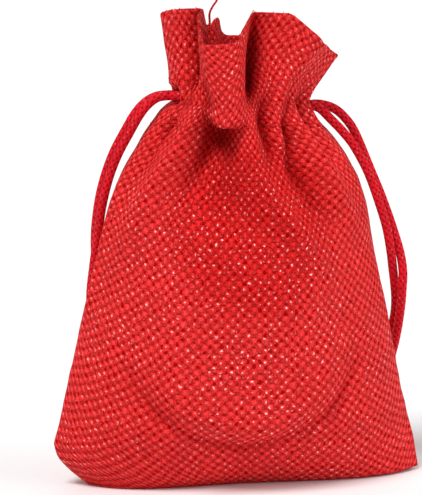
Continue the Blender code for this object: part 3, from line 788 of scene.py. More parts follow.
def station_of(angles):
    """Stations between the seams, and which angles are on the front; 0 is the right seam."""
    on_front = angles >= math.pi
    station = np.where(on_front, angles / (math.pi / 2) - 3.0, 1.0 - angles / (math.pi / 2))
    return station, on_front


def folds_rise(folds, above_neck, station):
    """The summed rise of a table's folds, each a soft or a flat-topped ridge or valley."""
    total = np.zeros_like(station)
    for name, points in folds.items():
        place, rise, width = along(points, above_neck, flat_ends=True)
        power = 4 if name in FLAT_TOPPED else 2
        total += rise * np.exp(-np.abs((station - place) / width) ** power)
    return total


def cloth_rise(angles, level):
    """How far the folds, the bulge and the gathers lift the cloth off its section."""
    station, on_front = station_of(angles)
    above_neck = level - NECK_HEIGHT
    front = folds_rise(FRONT_FOLDS, above_neck, station)
    across = (station - BULGE_STATION) / BULGE_HALF_WIDTH
    upward = (level - BULGE_HEIGHT) / BULGE_HALF_HEIGHT
    lower = smooth_step(BULGE_LOWER_AT_MIDDLE - BULGE_LOWER_SLOPE * upward)
    upward = np.where(upward > 0.0, upward * BULGE_TOP_STRETCH, upward)
    out = np.abs(across) ** BULGE_ROUNDNESS + np.abs(upward) ** BULGE_ROUNDNESS
    out = out ** (1.0 / BULGE_ROUNDNESS)
    edge = BULGE_TOP_EDGE + (BULGE_EDGE - BULGE_TOP_EDGE) * lower
    front += BULGE_RISE * smooth_step((1.0 - out) / edge)
    front -= CREASE_DEPTH * lower * np.exp(-(((out - 1.0) / CREASE_HALF_WIDTH) ** 2))
    back = folds_rise(BACK_FOLDS, above_neck, station)
    seam_fade = smooth_step((1.0 - np.abs(station)) / SEAM_FADE)
    gather_fade = smooth_step(1.0 - np.abs(above_neck) / GATHER_REACH)
    uneven = GATHER_MEAN
    for times, start, strength in GATHER_SIZES:
        uneven = uneven + strength * np.sin(times * angles + start)
    phase = angles * GATHERS_ROUND
    for times, strength in GATHER_SHIFTS:
        phase = phase + strength * np.sin(times * angles)
    gathers = GATHER_RISE * uneven * gather_fade * (0.5 - 0.5 * np.cos(phase))
    return np.where(on_front, front, back) * seam_fade + gathers


def rim_level(angles):
    """The height of the rim all round."""
    station, on_front = station_of(angles)
    front = along(FRONT_RIM, station)[0]
    back = along(BACK_RIM, station)[0]
    return NECK_HEIGHT + RUFFLE_HEIGHT - np.where(on_front, front, back)


def channel_share(level):
    """0 where the wall is plain cloth, and 1 where it holds the cords."""
    above = (level - NECK_HEIGHT - CHANNEL_HALF_HEIGHT) / CHANNEL_FADE_UP
    below = (NECK_HEIGHT - CHANNEL_HALF_HEIGHT - level) / CHANNEL_FADE_DOWN
    return smooth_step(1.0 - np.maximum(above, below))


def exit_dent(angles, level, diameter):
    """How far the seam is pushed in where a drawstring goes into the channel."""
    dent = np.zeros_like(level)
    for side, seam in ((-1, math.pi), (1, 0.0)):
        off = np.abs((angles - seam + math.pi) % (2 * math.pi) - math.pi)
        across = NECK_HALF_DEPTH * np.sin(np.minimum(off, math.pi / 2)) / EXIT_HALF_WIDTH
        upward = (level - cord_level(side)) / (EXIT_HALF_HEIGHT * diameter)
        dent = np.maximum(dent, EXIT_DEPTH * np.exp(-(across ** 4) - upward ** 4))
    return dent


def tongue_droop(angles, level):
    """How far the tip of the tongue is pulled down over the hollow below it."""
    station, on_front = station_of(angles)
    above_neck = level - NECK_HEIGHT
    start = smooth_step((above_neck - DROOP_FROM) / (DROOP_FULL - DROOP_FROM))
    end = smooth_step((DROOP_END - above_neck) / (DROOP_END - DROOP_FULL))
    middle = np.exp(-np.abs((station - DROOP_STATION) / DROOP_HALF_WIDTH) ** 4)
    return DROOP * start * end * middle * on_front


def cloth_points(angles, level, sections, inner, wall, diameter):
    """Points of the outer or the inner surface on a grid of angles and levels."""
    left, right, depth, flatness, seam_point = sections
    rise = cloth_rise(angles, level)
    if inner:
        cover = diameter / 2 + CORD_CLEARANCE + CHANNEL_COVER
        blend = channel_share(level)
        neck = (
            LOOP_HALF_WIDTH - cover, LOOP_HALF_WIDTH - cover, LOOP_HALF_DEPTH - cover, *NECK_SHAPE,
        )
        plain = (left - wall, right - wall, depth - wall, flatness, seam_point)
        left, right, depth, flatness, seam_point = [
            a + (b - a) * blend for a, b in zip(plain, neck)
        ]
        rise = np.minimum(rise, rise * (1.0 - blend))
    else:
        rise = rise - exit_dent(angles, level, diameter)
    across = np.cos(angles)
    reach = np.where(across > 0.0, right, left) + rise
    bulge = np.maximum(1.0 - np.minimum(np.abs(across), 1.0) ** flatness, 0.0) ** seam_point
    x = reach * across
    y = (depth + rise) * bulge * np.where(np.sin(angles) < 0.0, -1.0, 1.0)
    lean_across = smooth_step((x - LEAN_FROM) / (LEAN_TO - LEAN_FROM))
    lean_upward = smooth_step((level - NECK_HEIGHT - CHANNEL_HALF_HEIGHT) / LEAN_RISE)
    y = y - LEAN_FORWARD * lean_across * lean_upward
    z = level if inner else level - tongue_droop(angles, level)
    return np.stack([x, y, z], axis=-1)


def body_grid(angles, heights, inner, wall, diameter):
    """Points of the cloth below the neck, with one ring at each height."""
    level = np.repeat(heights[:, None], len(angles), axis=1)
    turned = np.repeat(angles[None, :], len(heights), axis=0)
    sections = along(BODY_SECTIONS, level)
    return cloth_points(turned, level, sections, inner, wall, diameter)


def ruffle_grid(angles, shares, inner, wall, diameter):
    """Points of the ruffle, with one ring at each share of the way from the neck to the rim."""
    turned = np.repeat(angles[None, :], len(shares), axis=0)
    share = np.repeat(shares[:, None], len(angles), axis=1)
    level = NECK_HEIGHT + (rim_level(turned) - NECK_HEIGHT) * share
    sections = along(RUFFLE_SECTIONS, share)
    return cloth_points(turned, level, sections, inner, wall, diameter)


def shrinking_rings(ring, shares):
    """Rings from one ring towards its middle, to close the flat base."""
    middle = ring.mean(axis=0)
    return np.stack([middle + (ring - middle) * share for share in shares])


def rim_rings(outer, inner):
    """Rings over the rounded edge of the rim, from the outer ring to the inner one."""
    rings = []
    for step in range(1, RIM_STEPS):
        share = step / RIM_STEPS
        ring = outer + (inner - outer) * (0.5 - 0.5 * math.cos(math.pi * share))
        ring[:, 2] += RIM_SWELL * math.sin(math.pi * share)
        rings.append(ring)
    return np.stack(rings)


def cloth_grid(diameter):
    """All the rings of the cloth: base, outside, rim, inside and inner base."""
    back = np.linspace(0.0, math.pi, BACK_STEPS, endpoint=False)
    front = np.linspace(math.pi, 2 * math.pi, FRONT_STEPS, endpoint=False)
    angles = np.concatenate([back, front])
    count = round((NECK_HEIGHT - FIRST_EVEN_RING) / BODY_ROW_STEP)
    even = np.linspace(FIRST_EVEN_RING, NECK_HEIGHT, count, endpoint=False)
    heights = np.concatenate([LOW_RINGS, even])
    inner_count = round((NECK_HEIGHT - CLOTH_THICKNESS) / INNER_ROW_STEP)
    inner_heights = np.linspace(CLOTH_THICKNESS, NECK_HEIGHT, inner_count, endpoint=False)
    shares = np.linspace(0.0, 1.0, RUFFLE_STEPS + 1)
    inner_shares = np.linspace(0.0, 1.0, INNER_RUFFLE_STEPS + 1)
    body = body_grid(angles, heights, False, CLOTH_THICKNESS, diameter)
    ruffle = ruffle_grid(angles, shares, False, HEM_THICKNESS, diameter)
    lining = body_grid(angles, inner_heights, True, CLOTH_THICKNESS, diameter)
    throat = ruffle_grid(angles, inner_shares, True, HEM_THICKNESS, diameter)
    outer = np.concatenate([body, ruffle])
    inner = np.concatenate([lining, throat])
    base = shrinking_rings(outer[0], BASE_SHARES)
    floor = shrinking_rings(inner[0], INNER_BASE_SHARES)
    rim = rim_rings(outer[-1], inner[-1])
    rings = np.concatenate([base, outer, rim, inner[::-1], floor])
    return angles, rings, len(base), len(base) + len(outer)


def softened(values, times, axis):
    """Values smoothed along one axis, with the ends kept."""
    values = np.moveaxis(values.copy(), axis, 0)
    for _ in range(times):
        values[1:-1] = (values[:-2] + 2.0 * values[1:-1] + values[2:]) / 4.0
    return np.moveaxis(values, 0, axis)


def yarn_coordinates(angles, rings, first):
    """Distances across and up the cloth, in metres, for each ring and panel. The upright yarns run
    along the columns and lie closer together at the neck."""
    around = np.linalg.norm(np.diff(rings, axis=1, append=rings[:, :1]), axis=2)
    up = np.cumsum(np.linalg.norm(np.diff(rings, axis=0, prepend=rings[:1]), axis=2), axis=0)
    up = up - up[first]
    mean_up = up.mean(axis=1)[:, None]
    level = rings[:, :, 2].mean(axis=1)
    corner = np.where(np.cos(angles) > 0.0, RIGHT_CORNER, LEFT_CORNER)
    lift = np.abs(rings[first][:, 1]) - corner * np.abs(np.cos(angles)) ** CORNER_POWER
    sag = lift[None, :] * np.clip(1.0 - level / NECK_HEIGHT, 0.0, 1.0)[:, None]
    panels = []
    for start, count in ((0, BACK_STEPS), (BACK_STEPS, FRONT_STEPS)):
        columns = [(start + k) % len(angles) for k in range(count + 1)]
        across = np.zeros((len(rings), count + 1))
        across[:, 1:] = np.cumsum(around[:, columns[:-1]], axis=1)
        share = softened(across / np.maximum(across[:, -1:], 1e-9), YARN_PASSES_UP, 0)
        up_panel = softened(up[:, columns], YARN_PASSES_ACROSS, 1)
        across = (share * 2.0 - 1.0) * PANEL_HALF_WIDTH
        height = mean_up * YARN_LEVEL_SHARE + up_panel * (1.0 - YARN_LEVEL_SHARE)
        panels.append((columns, across, height + sag[:, columns]))
    return panels


def painted_fold_shades(rings, first, last):
    """How far each point lies below the run of the cloth round it: 1 deep in a fold and -1 on a
    ridge. The material darkens the cloth by it as painted shade, and the base, rim and inside by a
    fixed one."""
    shades = np.full(rings.shape[:2], INSIDE_PAINTED_SHADE)
    outer = rings[first:last]
    margin = FOLD_PASSES_ACROSS
    wide = np.concatenate([outer[:, -margin:], outer, outer[:, :margin]], axis=1)
    run = softened(softened(wide, FOLD_PASSES_ACROSS, 1), FOLD_PASSES_UP, 0)[:, margin:-margin]
    outward = outer[:, :, :2] / np.linalg.norm(outer[:, :, :2], axis=2, keepdims=True)
    depth = ((run - outer)[:, :, :2] * outward).sum(axis=2)
    shades[first:last] = np.clip(depth / FOLD_DEPTH, -1.0, 1.0)
    return shades


def soft_dent(place):
    """Which way and how far the cloth is dented at a place, in shares of its unevenness."""
    small = noise.noise(place * SMALL_DENT_SCALE)
    soft = noise.noise(place * DENT_SCALE) + SMALL_DENT_SHARE * small
    out = Vector((place.x, place.y, 0.0)).normalized()
    return out * soft * min(1.0, place.z / DENT_FADE)


def make_cloth(settings, diameter):
    """The whole cloth as one piece, with its yarns as UVs and the depth of its folds for painted
    shade.
    """
    angles, rings, first, last = cloth_grid(diameter)
    panels = yarn_coordinates(angles, rings, first)
    count = len(angles)
    coordinates = []
    for row, ring in enumerate(rings):
        for point in ring:
            place = Vector(point)
            if first <= row < last:
                place += soft_dent(place) * settings.unevenness
            coordinates.append(place)
    faces = []
    corners = []
    for columns, across, up in panels:
        for row in range(len(rings) - 1):
            for k in range(len(columns) - 1):
                a = columns[k]
                b = columns[k + 1]
                faces.append((
                    row * count + a, row * count + b, (row + 1) * count + b, (row + 1) * count + a,
                ))
                for r, c in ((row, k), (row, k + 1), (row + 1, k + 1), (row + 1, k)):
                    corners.append((across[r, c], up[r, c]))
    faces.append(tuple(reversed(range(count))))
    corners.extend([(0.0, 0.0)] * count)
    final = (len(rings) - 1) * count
    faces.append(tuple(range(final, final + count)))
    corners.extend([(0.0, 0.0)] * count)
    data = bpy.data.meshes.new("pouch_weave")
    data.from_pydata(coordinates, [], faces)
    layer = data.uv_layers.new(name="yarns")
    layer.data.foreach_set("uv", np.array(corners, np.float32).ravel())
    shades = data.attributes.new("fold shade", "FLOAT", "POINT")
    shades.data.foreach_set("value", painted_fold_shades(rings, first, last).astype(np.float32).ravel())
    data.shade_smooth()
    data.update()
    cloth = bpy.data.objects.new("pouch_weave", data)
    bpy.context.scene.collection.objects.link(cloth)
    return cloth


def cord_level(side):
    """The left drawstring's loop lies above the right one's."""
    return NECK_HEIGHT - side * CORD_STEP / 2


def smooth_points(points, spacing):
    """Points at an even spacing along a smooth curve through the given ones."""
    fine = []
    for i in range(len(points) - 1):
        before = points[max(i - 1, 0)]
        start = points[i]
        end = points[i + 1]
        after = points[min(i + 2, len(points) - 1)]
        for k in range(CURVE_STEPS):
            t = k / CURVE_STEPS
            fine.append(
                0.5 * (
                    2 * start
                    + (end - before) * t
                    + (2 * before - 5 * start + 4 * end - after) * t ** 2
                    + (3 * start - 3 * end + after - before) * t ** 3
                )
            )
    fine.append(points[-1])
    places = np.array(fine)
    walked = np.concatenate([[0.0], np.cumsum(np.linalg.norm(np.diff(places, axis=0), axis=1))])
    count = max(2, round(walked[-1] / spacing))
    even = np.linspace(0.0, walked[-1], count + 1)
    found = [np.interp(even, walked, places[:, axis]) for axis in range(3)]
    return [Vector(place) for place in zip(*found)]


def drawstring_line(side, route, knot, diameter):
    """One whole cord from its knot up the front strand, round the channel and back down, and the
    two ends of its loop."""
    level = cord_level(side)
    offset = (diameter + STRAND_GAP) / 2
    sweep = 180.0 - LOOP_OPENING
    loop = []
    for step in range(LOOP_STEPS + 1):
        turn = math.radians(-sweep + 2 * sweep * step / LOOP_STEPS)
        loop.append(Vector((
            -side * LOOP_HALF_WIDTH * math.cos(turn), LOOP_HALF_DEPTH * math.sin(turn), level,
        )))
    exits = [
        [Vector((side * (LOOP_HALF_WIDTH + SPREAD_END), y * (offset + STRAND_SPREAD), level)),
         Vector((side * (LOOP_HALF_WIDTH + SPACING_START), y * offset, level))]
        for y in (-1, 1)
    ]
    front = [Vector(pair[0]) for pair in route]
    back = [Vector(pair[1]) for pair in route]
    top = Vector(knot) + Vector((0.0, 0.0, KNOT_HEIGHT / 2 + TOUCH_GAP))
    ends = [top + Vector((-offset, 0.0, 0.0)), top + Vector((offset, 0.0, 0.0))]
    if side > 0:
        ends.reverse()
    above = Vector((0.0, 0.0, diameter))
    chosen = [ends[0], ends[0] + above, *reversed(front), *reversed(exits[0])]
    chosen += loop + [*exits[1], *back, ends[1] + above, ends[1]]
    return smooth_points(chosen, CORD_POINT_SPACING), exits[0][1], exits[1][1]


def nearest_index(points, place):
    return min(range(len(points)), key=lambda i: (points[i] - place).length)


def tube_rings(points, radii, sides, across):
    """Rings along a line whose sides don't twist round it."""
    rings = []
    turns = [math.tau * k / sides for k in range(sides)]
    for i, point in enumerate(points):
        ahead = points[min(i + 1, len(points) - 1)] - points[max(i - 1, 0)]
        ahead.normalize()
        across = across - ahead * across.dot(ahead)
        if across.length < 1e-6:
            across = ahead.orthogonal()
        across.normalize()
        other = ahead.cross(across)
        rings.append([
            point + (across * math.cos(turn) + other * math.sin(turn)) * radii[i]
            for turn in turns
        ])
    return rings


def add_tube(mesh, layer, points, radius, sides, start_v=0.0, start_across=BACKWARD):
    """A capped tube in a bmesh, with its share round the tube and its distance along it as UVs. Its
    radius is one number, or a list with one for each point."""
    radii = radius if isinstance(radius, list) else [radius] * len(points)
    rings = tube_rings(points, radii, sides, start_across)
    loops = [[mesh.verts.new(point) for point in ring] for ring in rings]
    v = start_v
    for i in range(len(loops) - 1):
        ahead = v + (points[i + 1] - points[i]).length
        for k in range(sides):
            m = (k + 1) % sides
            face = mesh.faces.new((loops[i][k], loops[i][m], loops[i + 1][m], loops[i + 1][k]))
            face.smooth = True
            places = ((k, v), (k + 1, v), (k + 1, ahead), (k, ahead))
            for corner, (u, w) in zip(face.loops, places):
                corner[layer].uv = (u / sides, w)
        v = ahead
    for loop in (list(reversed(loops[0])), loops[-1]):
        face = mesh.faces.new(loop)
        face.smooth = False


def new_piece(name, build):
    """A mesh piece that a builder function fills through a bmesh and its UV layer."""
    mesh = bmesh.new()
    layer = mesh.loops.layers.uv.new("yarns")
    build(mesh, layer)
    data = bpy.data.meshes.new(name)
    mesh.to_mesh(data)
    mesh.free()
    piece = bpy.data.objects.new(name, data)
    bpy.context.scene.collection.objects.link(piece)
    return piece


def make_strand(name, points, diameter, start_v):
    return new_piece(
        name,
        lambda mesh, layer: add_tube(mesh, layer, points, diameter / 2, CORD_SIDES, start_v),
    )


def make_knot(name, side, centre, diameter):
    """An overhand knot: a wrap round the two strands, and their two cut ends."""
    centre = Vector(centre)
    radius = diameter / 2
    tilt = Matrix.Rotation(math.radians(WRAP_TILT * side), 3, "Y")

    def build(mesh, layer):
        wrap = []
        for step in range(WRAP_STEPS + 1):
            share = step / WRAP_STEPS
            turn = math.tau * WRAP_TURNS * share + (0.0 if side > 0 else math.pi)
            swell = WRAP_RADIUS - WRAP_TAPER * abs(2 * share - 1) ** 4
            place = Vector((
                math.cos(turn) * swell,
                math.sin(turn) * swell * WRAP_FLATNESS,
                (share - 0.5) * WRAP_HEIGHT,
            ))
            wrap.append(centre + tilt @ place)
        add_tube(mesh, layer, wrap, radius * WRAP_THICKNESS, CORD_SIDES, start_across=UPWARD)
        for strand in (-1, 1):
            core = [centre + Vector((strand * x, y, z)) for x, y, z in KNOT_STRAND]
            line = smooth_points(core, THREAD_POINT_SPACING)
            size = [radius * STRAND_THICKNESS] * (len(line) - len(CUT_END_SIZES))
            size += [radius * share for share in CUT_END_SIZES]
            add_tube(mesh, layer, line, size, CORD_SIDES)

    return new_piece(name, build)


def surface_point(angle, level, diameter, out):
    """A point that stands a little off the outside of the cloth."""
    turned = np.array([[angle % math.tau]])
    height = np.array([[level]])
    if level <= NECK_HEIGHT:
        sections = along(BODY_SECTIONS, height)
    else:
        share = (height - NECK_HEIGHT) / (rim_level(turned) - NECK_HEIGHT)
        sections = along(RUFFLE_SECTIONS, share)
    place = cloth_points(turned, height, sections, False, CLOTH_THICKNESS, diameter)[0, 0]
    point = Vector(place)
    return point + Vector((point.x, point.y * WIDTH_TO_DEPTH, 0.0)).normalized() * out


def make_stitches(settings, diameter):
    """Two rows of stitches, above and below the channel."""
    def build(mesh, layer):
        for row in STITCH_ROWS:
            line = [
                surface_point(math.tau * k / STITCH_POINTS, NECK_HEIGHT + row, diameter, 0.0)
                for k in range(STITCH_POINTS)
            ]
            line.append(line[0])
            walked = 0.0
            stitch = [line[0]]
            for a, b in zip(line, line[1:]):
                walked += (b - a).length
                if walked < settings.stitch_length:
                    stitch.append(b)
                elif walked > settings.stitch_length * (1.0 + STITCH_GAP):
                    if len(stitch) > 2:
                        size = [settings.thickness / 2] * len(stitch)
                        size[0] *= STITCH_END_SIZE
                        size[-1] *= STITCH_END_SIZE
                        add_tube(mesh, layer, stitch, size, STITCH_SIDES, start_across=UPWARD)
                    stitch = [b]
                    walked = 0.0

    return new_piece("channel_stitches", build)


def make_rim_threads(settings, diameter):
    """Short loose fibres along the rim, and one long thread."""
    chance = random.Random(FIBRE_SEED)

    def build(mesh, layer):
        for _ in range(settings.fibres):
            angle = chance.uniform(0.0, math.tau)
            level = float(rim_level(np.array([angle]))[0]) + FIBRE_ABOVE_RIM
            start = surface_point(angle, level, diameter, -chance.uniform(*FIBRE_DEPTHS))
            aside = (chance.uniform(-1, 1), chance.uniform(-1, 1))
            lean = Vector((*aside, chance.uniform(*FIBRE_RISES))).normalized()
            length = chance.uniform(*FIBRE_LENGTHS)
            bend = Vector((chance.uniform(-1, 1), chance.uniform(-1, 1), 0.0))
            bend *= length * FIBRE_BEND
            middle = start + lean * length * 0.5
            end = middle + lean * length * 0.5 + bend
            line = smooth_points([start, middle, end], FIBRE_POINT_SPACING)
            add_tube(mesh, layer, line, chance.uniform(*FIBRE_RADII), FIBRE_SIDES)
        loose = smooth_points([Vector(place) for place in LOOSE_THREAD], THREAD_POINT_SPACING)
        add_tube(mesh, layer, loose, LOOSE_THREAD_RADIUS, LOOSE_THREAD_SIDES)

    return new_piece("rim_threads", build)


def new_group(name, inputs, outputs):
    """A shader node group with its sockets: inputs as (name, type, default)."""
    group = bpy.data.node_groups.new(name, "ShaderNodeTree")
    for title, kind, default in inputs:
        socket = group.interface.new_socket(title, in_out="INPUT", socket_type=kind)
        if default is not None:
            socket.default_value = default
    for title, kind in outputs:
        group.interface.new_socket(title, in_out="OUTPUT", socket_type=kind)
    return group, group.nodes.new("NodeGroupInput"), group.nodes.new("NodeGroupOutput")


def feed(tree, socket, value):
    if isinstance(value, bpy.types.NodeSocket):
        tree.links.new(value, socket)
    else:
        socket.default_value = value


def reckon(tree, operation, *values, clamp=False):
    """A Math node on sockets or numbers, as its output socket."""
    node = tree.nodes.new("ShaderNodeMath")
    node.operation = operation
    node.use_clamp = clamp
    for socket, value in zip(node.inputs, values):
        feed(tree, socket, value)
    return node.outputs[0]


def ramped(tree, value, low, high):
    """0 at low, 1 at high, with a soft start and end."""
    node = tree.nodes.new("ShaderNodeMapRange")
    node.interpolation_type = "SMOOTHSTEP"
    feed(tree, node.inputs["Value"], value)
    feed(tree, node.inputs["From Min"], low)
    feed(tree, node.inputs["From Max"], high)
    return node.outputs["Result"]


def joined_vector(tree, x, y, z=0.0):
    node = tree.nodes.new("ShaderNodeCombineXYZ")
    for socket, value in zip(node.inputs, (x, y, z)):
        feed(tree, socket, value)
    return node.outputs[0]


def mixed_colour(tree, factor, low, high, blend="MIX"):
    node = tree.nodes.new("ShaderNodeMix")
    node.data_type = "RGBA"
    node.blend_type = blend
    feed(tree, node.inputs["Factor"], factor)
    feed(tree, node.inputs["A"], low)
    feed(tree, node.inputs["B"], high)
    return node.outputs["Result"]


def soft_noise(tree, vector, scale, detail=2.0):
    node = tree.nodes.new("ShaderNodeTexNoise")
    feed(tree, node.inputs["Vector"], vector)
    feed(tree, node.inputs["Scale"], scale)
    feed(tree, node.inputs["Detail"], detail)
    return node.outputs["Fac"]


def half_waves(tree, value):
    """A wave that is 1 at every even number and -1 at every odd one."""
    return reckon(tree, "COSINE", reckon(tree, "MULTIPLY", value, math.pi))


def squared_length(tree, x, y):
    return reckon(tree, "MULTIPLY_ADD", x, x, reckon(tree, "MULTIPLY", y, y))


def interlace_group():
    """Yarns that pass over and under each other, one crossing to a unit each way."""
    group, given, result = new_group(
        "Interlace",
        (
            ("Place", "NodeSocketVector", None),
            ("Roundness", "NodeSocketFloat", 0.6),
            ("Wave", "NodeSocketFloat", 0.5),
            ("Sink", "NodeSocketFloat", 0.0),
            ("Corner Holes", "NodeSocketFloat", 1.0),
            ("Level Painted Shade", "NodeSocketFloat", 0.8),
            ("Glint Share", "NodeSocketFloat", 0.4),
        ),
        (
            ("Height", "NodeSocketFloat"),
            ("Pit", "NodeSocketFloat"),
            ("Crown", "NodeSocketFloat"),
            ("Glint", "NodeSocketFloat"),
            ("Yarn Tone And Painted Shade", "NodeSocketFloat"),
        ),
    )
    split = group.nodes.new("ShaderNodeSeparateXYZ")
    group.links.new(given.outputs["Place"], split.inputs[0])
    u = split.outputs[0]
    v = split.outputs[1]
    column = reckon(group, "ROUND", u)
    row = reckon(group, "ROUND", v)
    off_u = reckon(group, "SUBTRACT", u, column)
    off_v = reckon(group, "SUBTRACT", v, row)
    roundness = given.outputs["Roundness"]
    wave = given.outputs["Wave"]
    sink = given.outputs["Sink"]
    level_painted_shade = given.outputs["Level Painted Shade"]
    glint_share = given.outputs["Glint Share"]
    profile_u = reckon(group, "POWER", half_waves(group, off_u), roundness)
    profile_v = reckon(group, "POWER", half_waves(group, off_v), roundness)
    upright = half_waves(group, reckon(group, "ADD", v, column))
    level = half_waves(group, reckon(group, "ADD", u, row))
    upright_height = reckon(group, "MULTIPLY_ADD", upright, wave, profile_u)
    sunk = reckon(group, "MULTIPLY_ADD", sink, -SINK_DEPTH, profile_v)
    level_height = reckon(group, "SUBTRACT", sunk, reckon(group, "MULTIPLY", level, wave))
    height = reckon(group, "MAXIMUM", upright_height, level_height)
    reach = reckon(group, "ADD", 1.0, wave)
    scaled = reckon(group, "DIVIDE", height, reach, clamp=True)
    group.links.new(scaled, result.inputs["Height"])
    hole = reckon(group, "SUBTRACT", 1.0, ramped(group, scaled, *HOLE_RANGE))
    across = half_waves(group, u)
    narrow = reckon(group, "MULTIPLY", across, reckon(group, "ABSOLUTE", across))
    checks = reckon(group, "MULTIPLY", narrow, half_waves(group, v))
    white = group.nodes.new("ShaderNodeTexWhiteNoise")
    white.noise_dimensions = "2D"
    group.links.new(joined_vector(group, column, row), white.inputs["Vector"])
    chance = white.outputs["Value"]
    sinking = reckon(group, "MULTIPLY_ADD", chance, SINK_SPREAD, SINK_LEAST)
    sinking = reckon(group, "MULTIPLY", sinking, sink)
    sunk_yarn = reckon(group, "MULTIPLY", ramped(group, checks, *SUNK_RANGE), sinking)
    corner_hole = reckon(group, "MULTIPLY", hole, given.outputs["Corner Holes"])
    # Pits: holes and sunk crossings, which the materials darken as painted shade and make rougher
    pit = reckon(group, "MAXIMUM", corner_hole, sunk_yarn)
    group.links.new(pit, result.inputs["Pit"])
    group.links.new(ramped(group, checks, *CROWN_RANGE), result.inputs["Crown"])
    chosen = reckon(group, "LESS_THAN", chance, glint_share)
    strength = reckon(group, "DIVIDE", chance, glint_share)
    strength = reckon(group, "MULTIPLY", chosen, strength)
    shift = group.nodes.new("ShaderNodeSeparateXYZ")
    group.links.new(white.outputs["Color"], shift.inputs[0])
    beside_u = reckon(group, "ADD", off_u, FLECK_PLACE[0])
    beside_v = reckon(group, "ADD", off_v, FLECK_PLACE[1])
    spot_u = reckon(group, "MULTIPLY_ADD", shift.outputs[1], FLECK_SPREAD, beside_u)
    spot_v = reckon(group, "MULTIPLY_ADD", shift.outputs[2], FLECK_SPREAD, beside_v)
    length = squared_length(group, spot_u, spot_v)
    spot = reckon(group, "SUBTRACT", 1.0, ramped(group, length, *FLECK_RANGE))
    group.links.new(reckon(group, "MULTIPLY", spot, strength), result.inputs["Glint"])
    # Painted light and shade: crossings with the upright yarn on top are lighter than those with
    # the level yarn on top; the spread is random tone
    upright_on_top = reckon(group, "GREATER_THAN", upright_height, level_height)
    brighter = reckon(group, "SUBTRACT", UPRIGHT_PAINTED_LIGHT, level_painted_shade)
    painted_side_shade = reckon(group, "MULTIPLY_ADD", upright_on_top, brighter, level_painted_shade)
    shade = reckon(group, "MULTIPLY_ADD", chance, SHADE_SPREAD, painted_side_shade)
    group.links.new(shade, result.inputs["Yarn Tone And Painted Shade"])
    return group


def dye_group():
    """Slow changes of shade over a dyed textile."""
    group, given, result = new_group(
        "Dye",
        (
            ("Place", "NodeSocketVector", None),
            ("Scale", "NodeSocketFloat", 60.0),
            ("Amount", "NodeSocketFloat", 0.2),
            ("Colour", "NodeSocketColor", (0.6, 0.03, 0.03, 1.0)),
        ),
        (("Colour", "NodeSocketColor"),),
    )
    cloud = soft_noise(group, given.outputs["Place"], given.outputs["Scale"], 3.0)
    cloud = reckon(group, "SUBTRACT", cloud, 0.5)
    factor = reckon(group, "MULTIPLY_ADD", cloud, given.outputs["Amount"], 1.0)
    scale = group.nodes.new("ShaderNodeVectorMath")
    scale.operation = "SCALE"
    group.links.new(given.outputs["Colour"], scale.inputs[0])
    group.links.new(factor, scale.inputs["Scale"])
    group.links.new(scale.outputs[0], result.inputs["Colour"])
    return group


def shared_group(name, maker):
    return bpy.data.node_groups.get(name) or maker()


def placed_group(tree, group):
    node = tree.nodes.new("ShaderNodeGroup")
    node.node_tree = group
    return node


def new_material(name, colour, roughness):
    material = bpy.data.materials.new(name)
    material.use_nodes = True
    tree = material.node_tree
    shader = tree.nodes["Principled BSDF"]
    shader.inputs["Base Color"].default_value = (*colour, 1.0)
    shader.inputs["Roughness"].default_value = roughness
    shader.inputs["Specular IOR Level"].default_value = SPECULAR
    return material, tree, shader


def dyed(tree, colour, scale, amount):
    """The Dye group placed on the object's own coordinates."""
    place = tree.nodes.new("ShaderNodeTexCoord")
    node = placed_group(tree, shared_group("Dye", dye_group))
    tree.links.new(place.outputs["Object"], node.inputs["Place"])
    node.inputs["Scale"].default_value = scale
    node.inputs["Amount"].default_value = amount
    node.inputs["Colour"].default_value = (*colour, 1.0)
    return node


def uv_parts(tree):
    uv = tree.nodes.new("ShaderNodeUVMap")
    uv.uv_map = "yarns"
    split = tree.nodes.new("ShaderNodeSeparateXYZ")
    tree.links.new(uv.outputs[0], split.inputs[0])
    return split.outputs[0], split.outputs[1]


def interlaced(tree, x, y, looks):
    """The Interlace group placed where two sets of yarns are counted by x and y."""
    node = placed_group(tree, shared_group("Interlace", interlace_group))
    for name, value in looks.items():
        node.inputs[name].default_value = value
    tree.links.new(joined_vector(tree, x, y), node.inputs["Place"])
    return node


def bumped(tree, shader, height, distance):
    bump = tree.nodes.new("ShaderNodeBump")
    bump.inputs["Strength"].default_value = 1.0
    bump.inputs["Distance"].default_value = distance
    tree.links.new(height, bump.inputs["Height"])
    tree.links.new(bump.outputs[0], shader.inputs["Normal"])


def front_mask(tree, place, middle, half_width, half_height, fade):
    """1 in an oval on the front of the cloth, fading out round it."""
    split = tree.nodes.new("ShaderNodeSeparateXYZ")
    tree.links.new(place, split.inputs[0])
    across = reckon(tree, "DIVIDE", split.outputs[0], half_width)
    upward = reckon(tree, "SUBTRACT", split.outputs[2], middle)
    upward = reckon(tree, "DIVIDE", upward, half_height)
    squares = squared_length(tree, across, upward)
    front = ramped(tree, split.outputs[1], *OVAL_DEPTHS)
    return reckon(tree, "MULTIPLY", ramped(tree, squares, 1.0 + fade, 1.0 - fade), front)


def yarn_number(tree, place, distance, pitch, wander_scale, ragged_scale):
    """The count of yarns up to a distance, where they wander and are ragged."""
    wander = reckon(tree, "SUBTRACT", soft_noise(tree, place, wander_scale), 0.5)
    ragged = reckon(tree, "SUBTRACT", soft_noise(tree, place, ragged_scale), 0.5)
    shift = reckon(tree, "MULTIPLY", wander, WANDER_SHARE)
    shift = reckon(tree, "MULTIPLY_ADD", ragged, RAGGED_SHARE, shift)
    return reckon(tree, "ADD", shift, reckon(tree, "DIVIDE", distance, pitch))


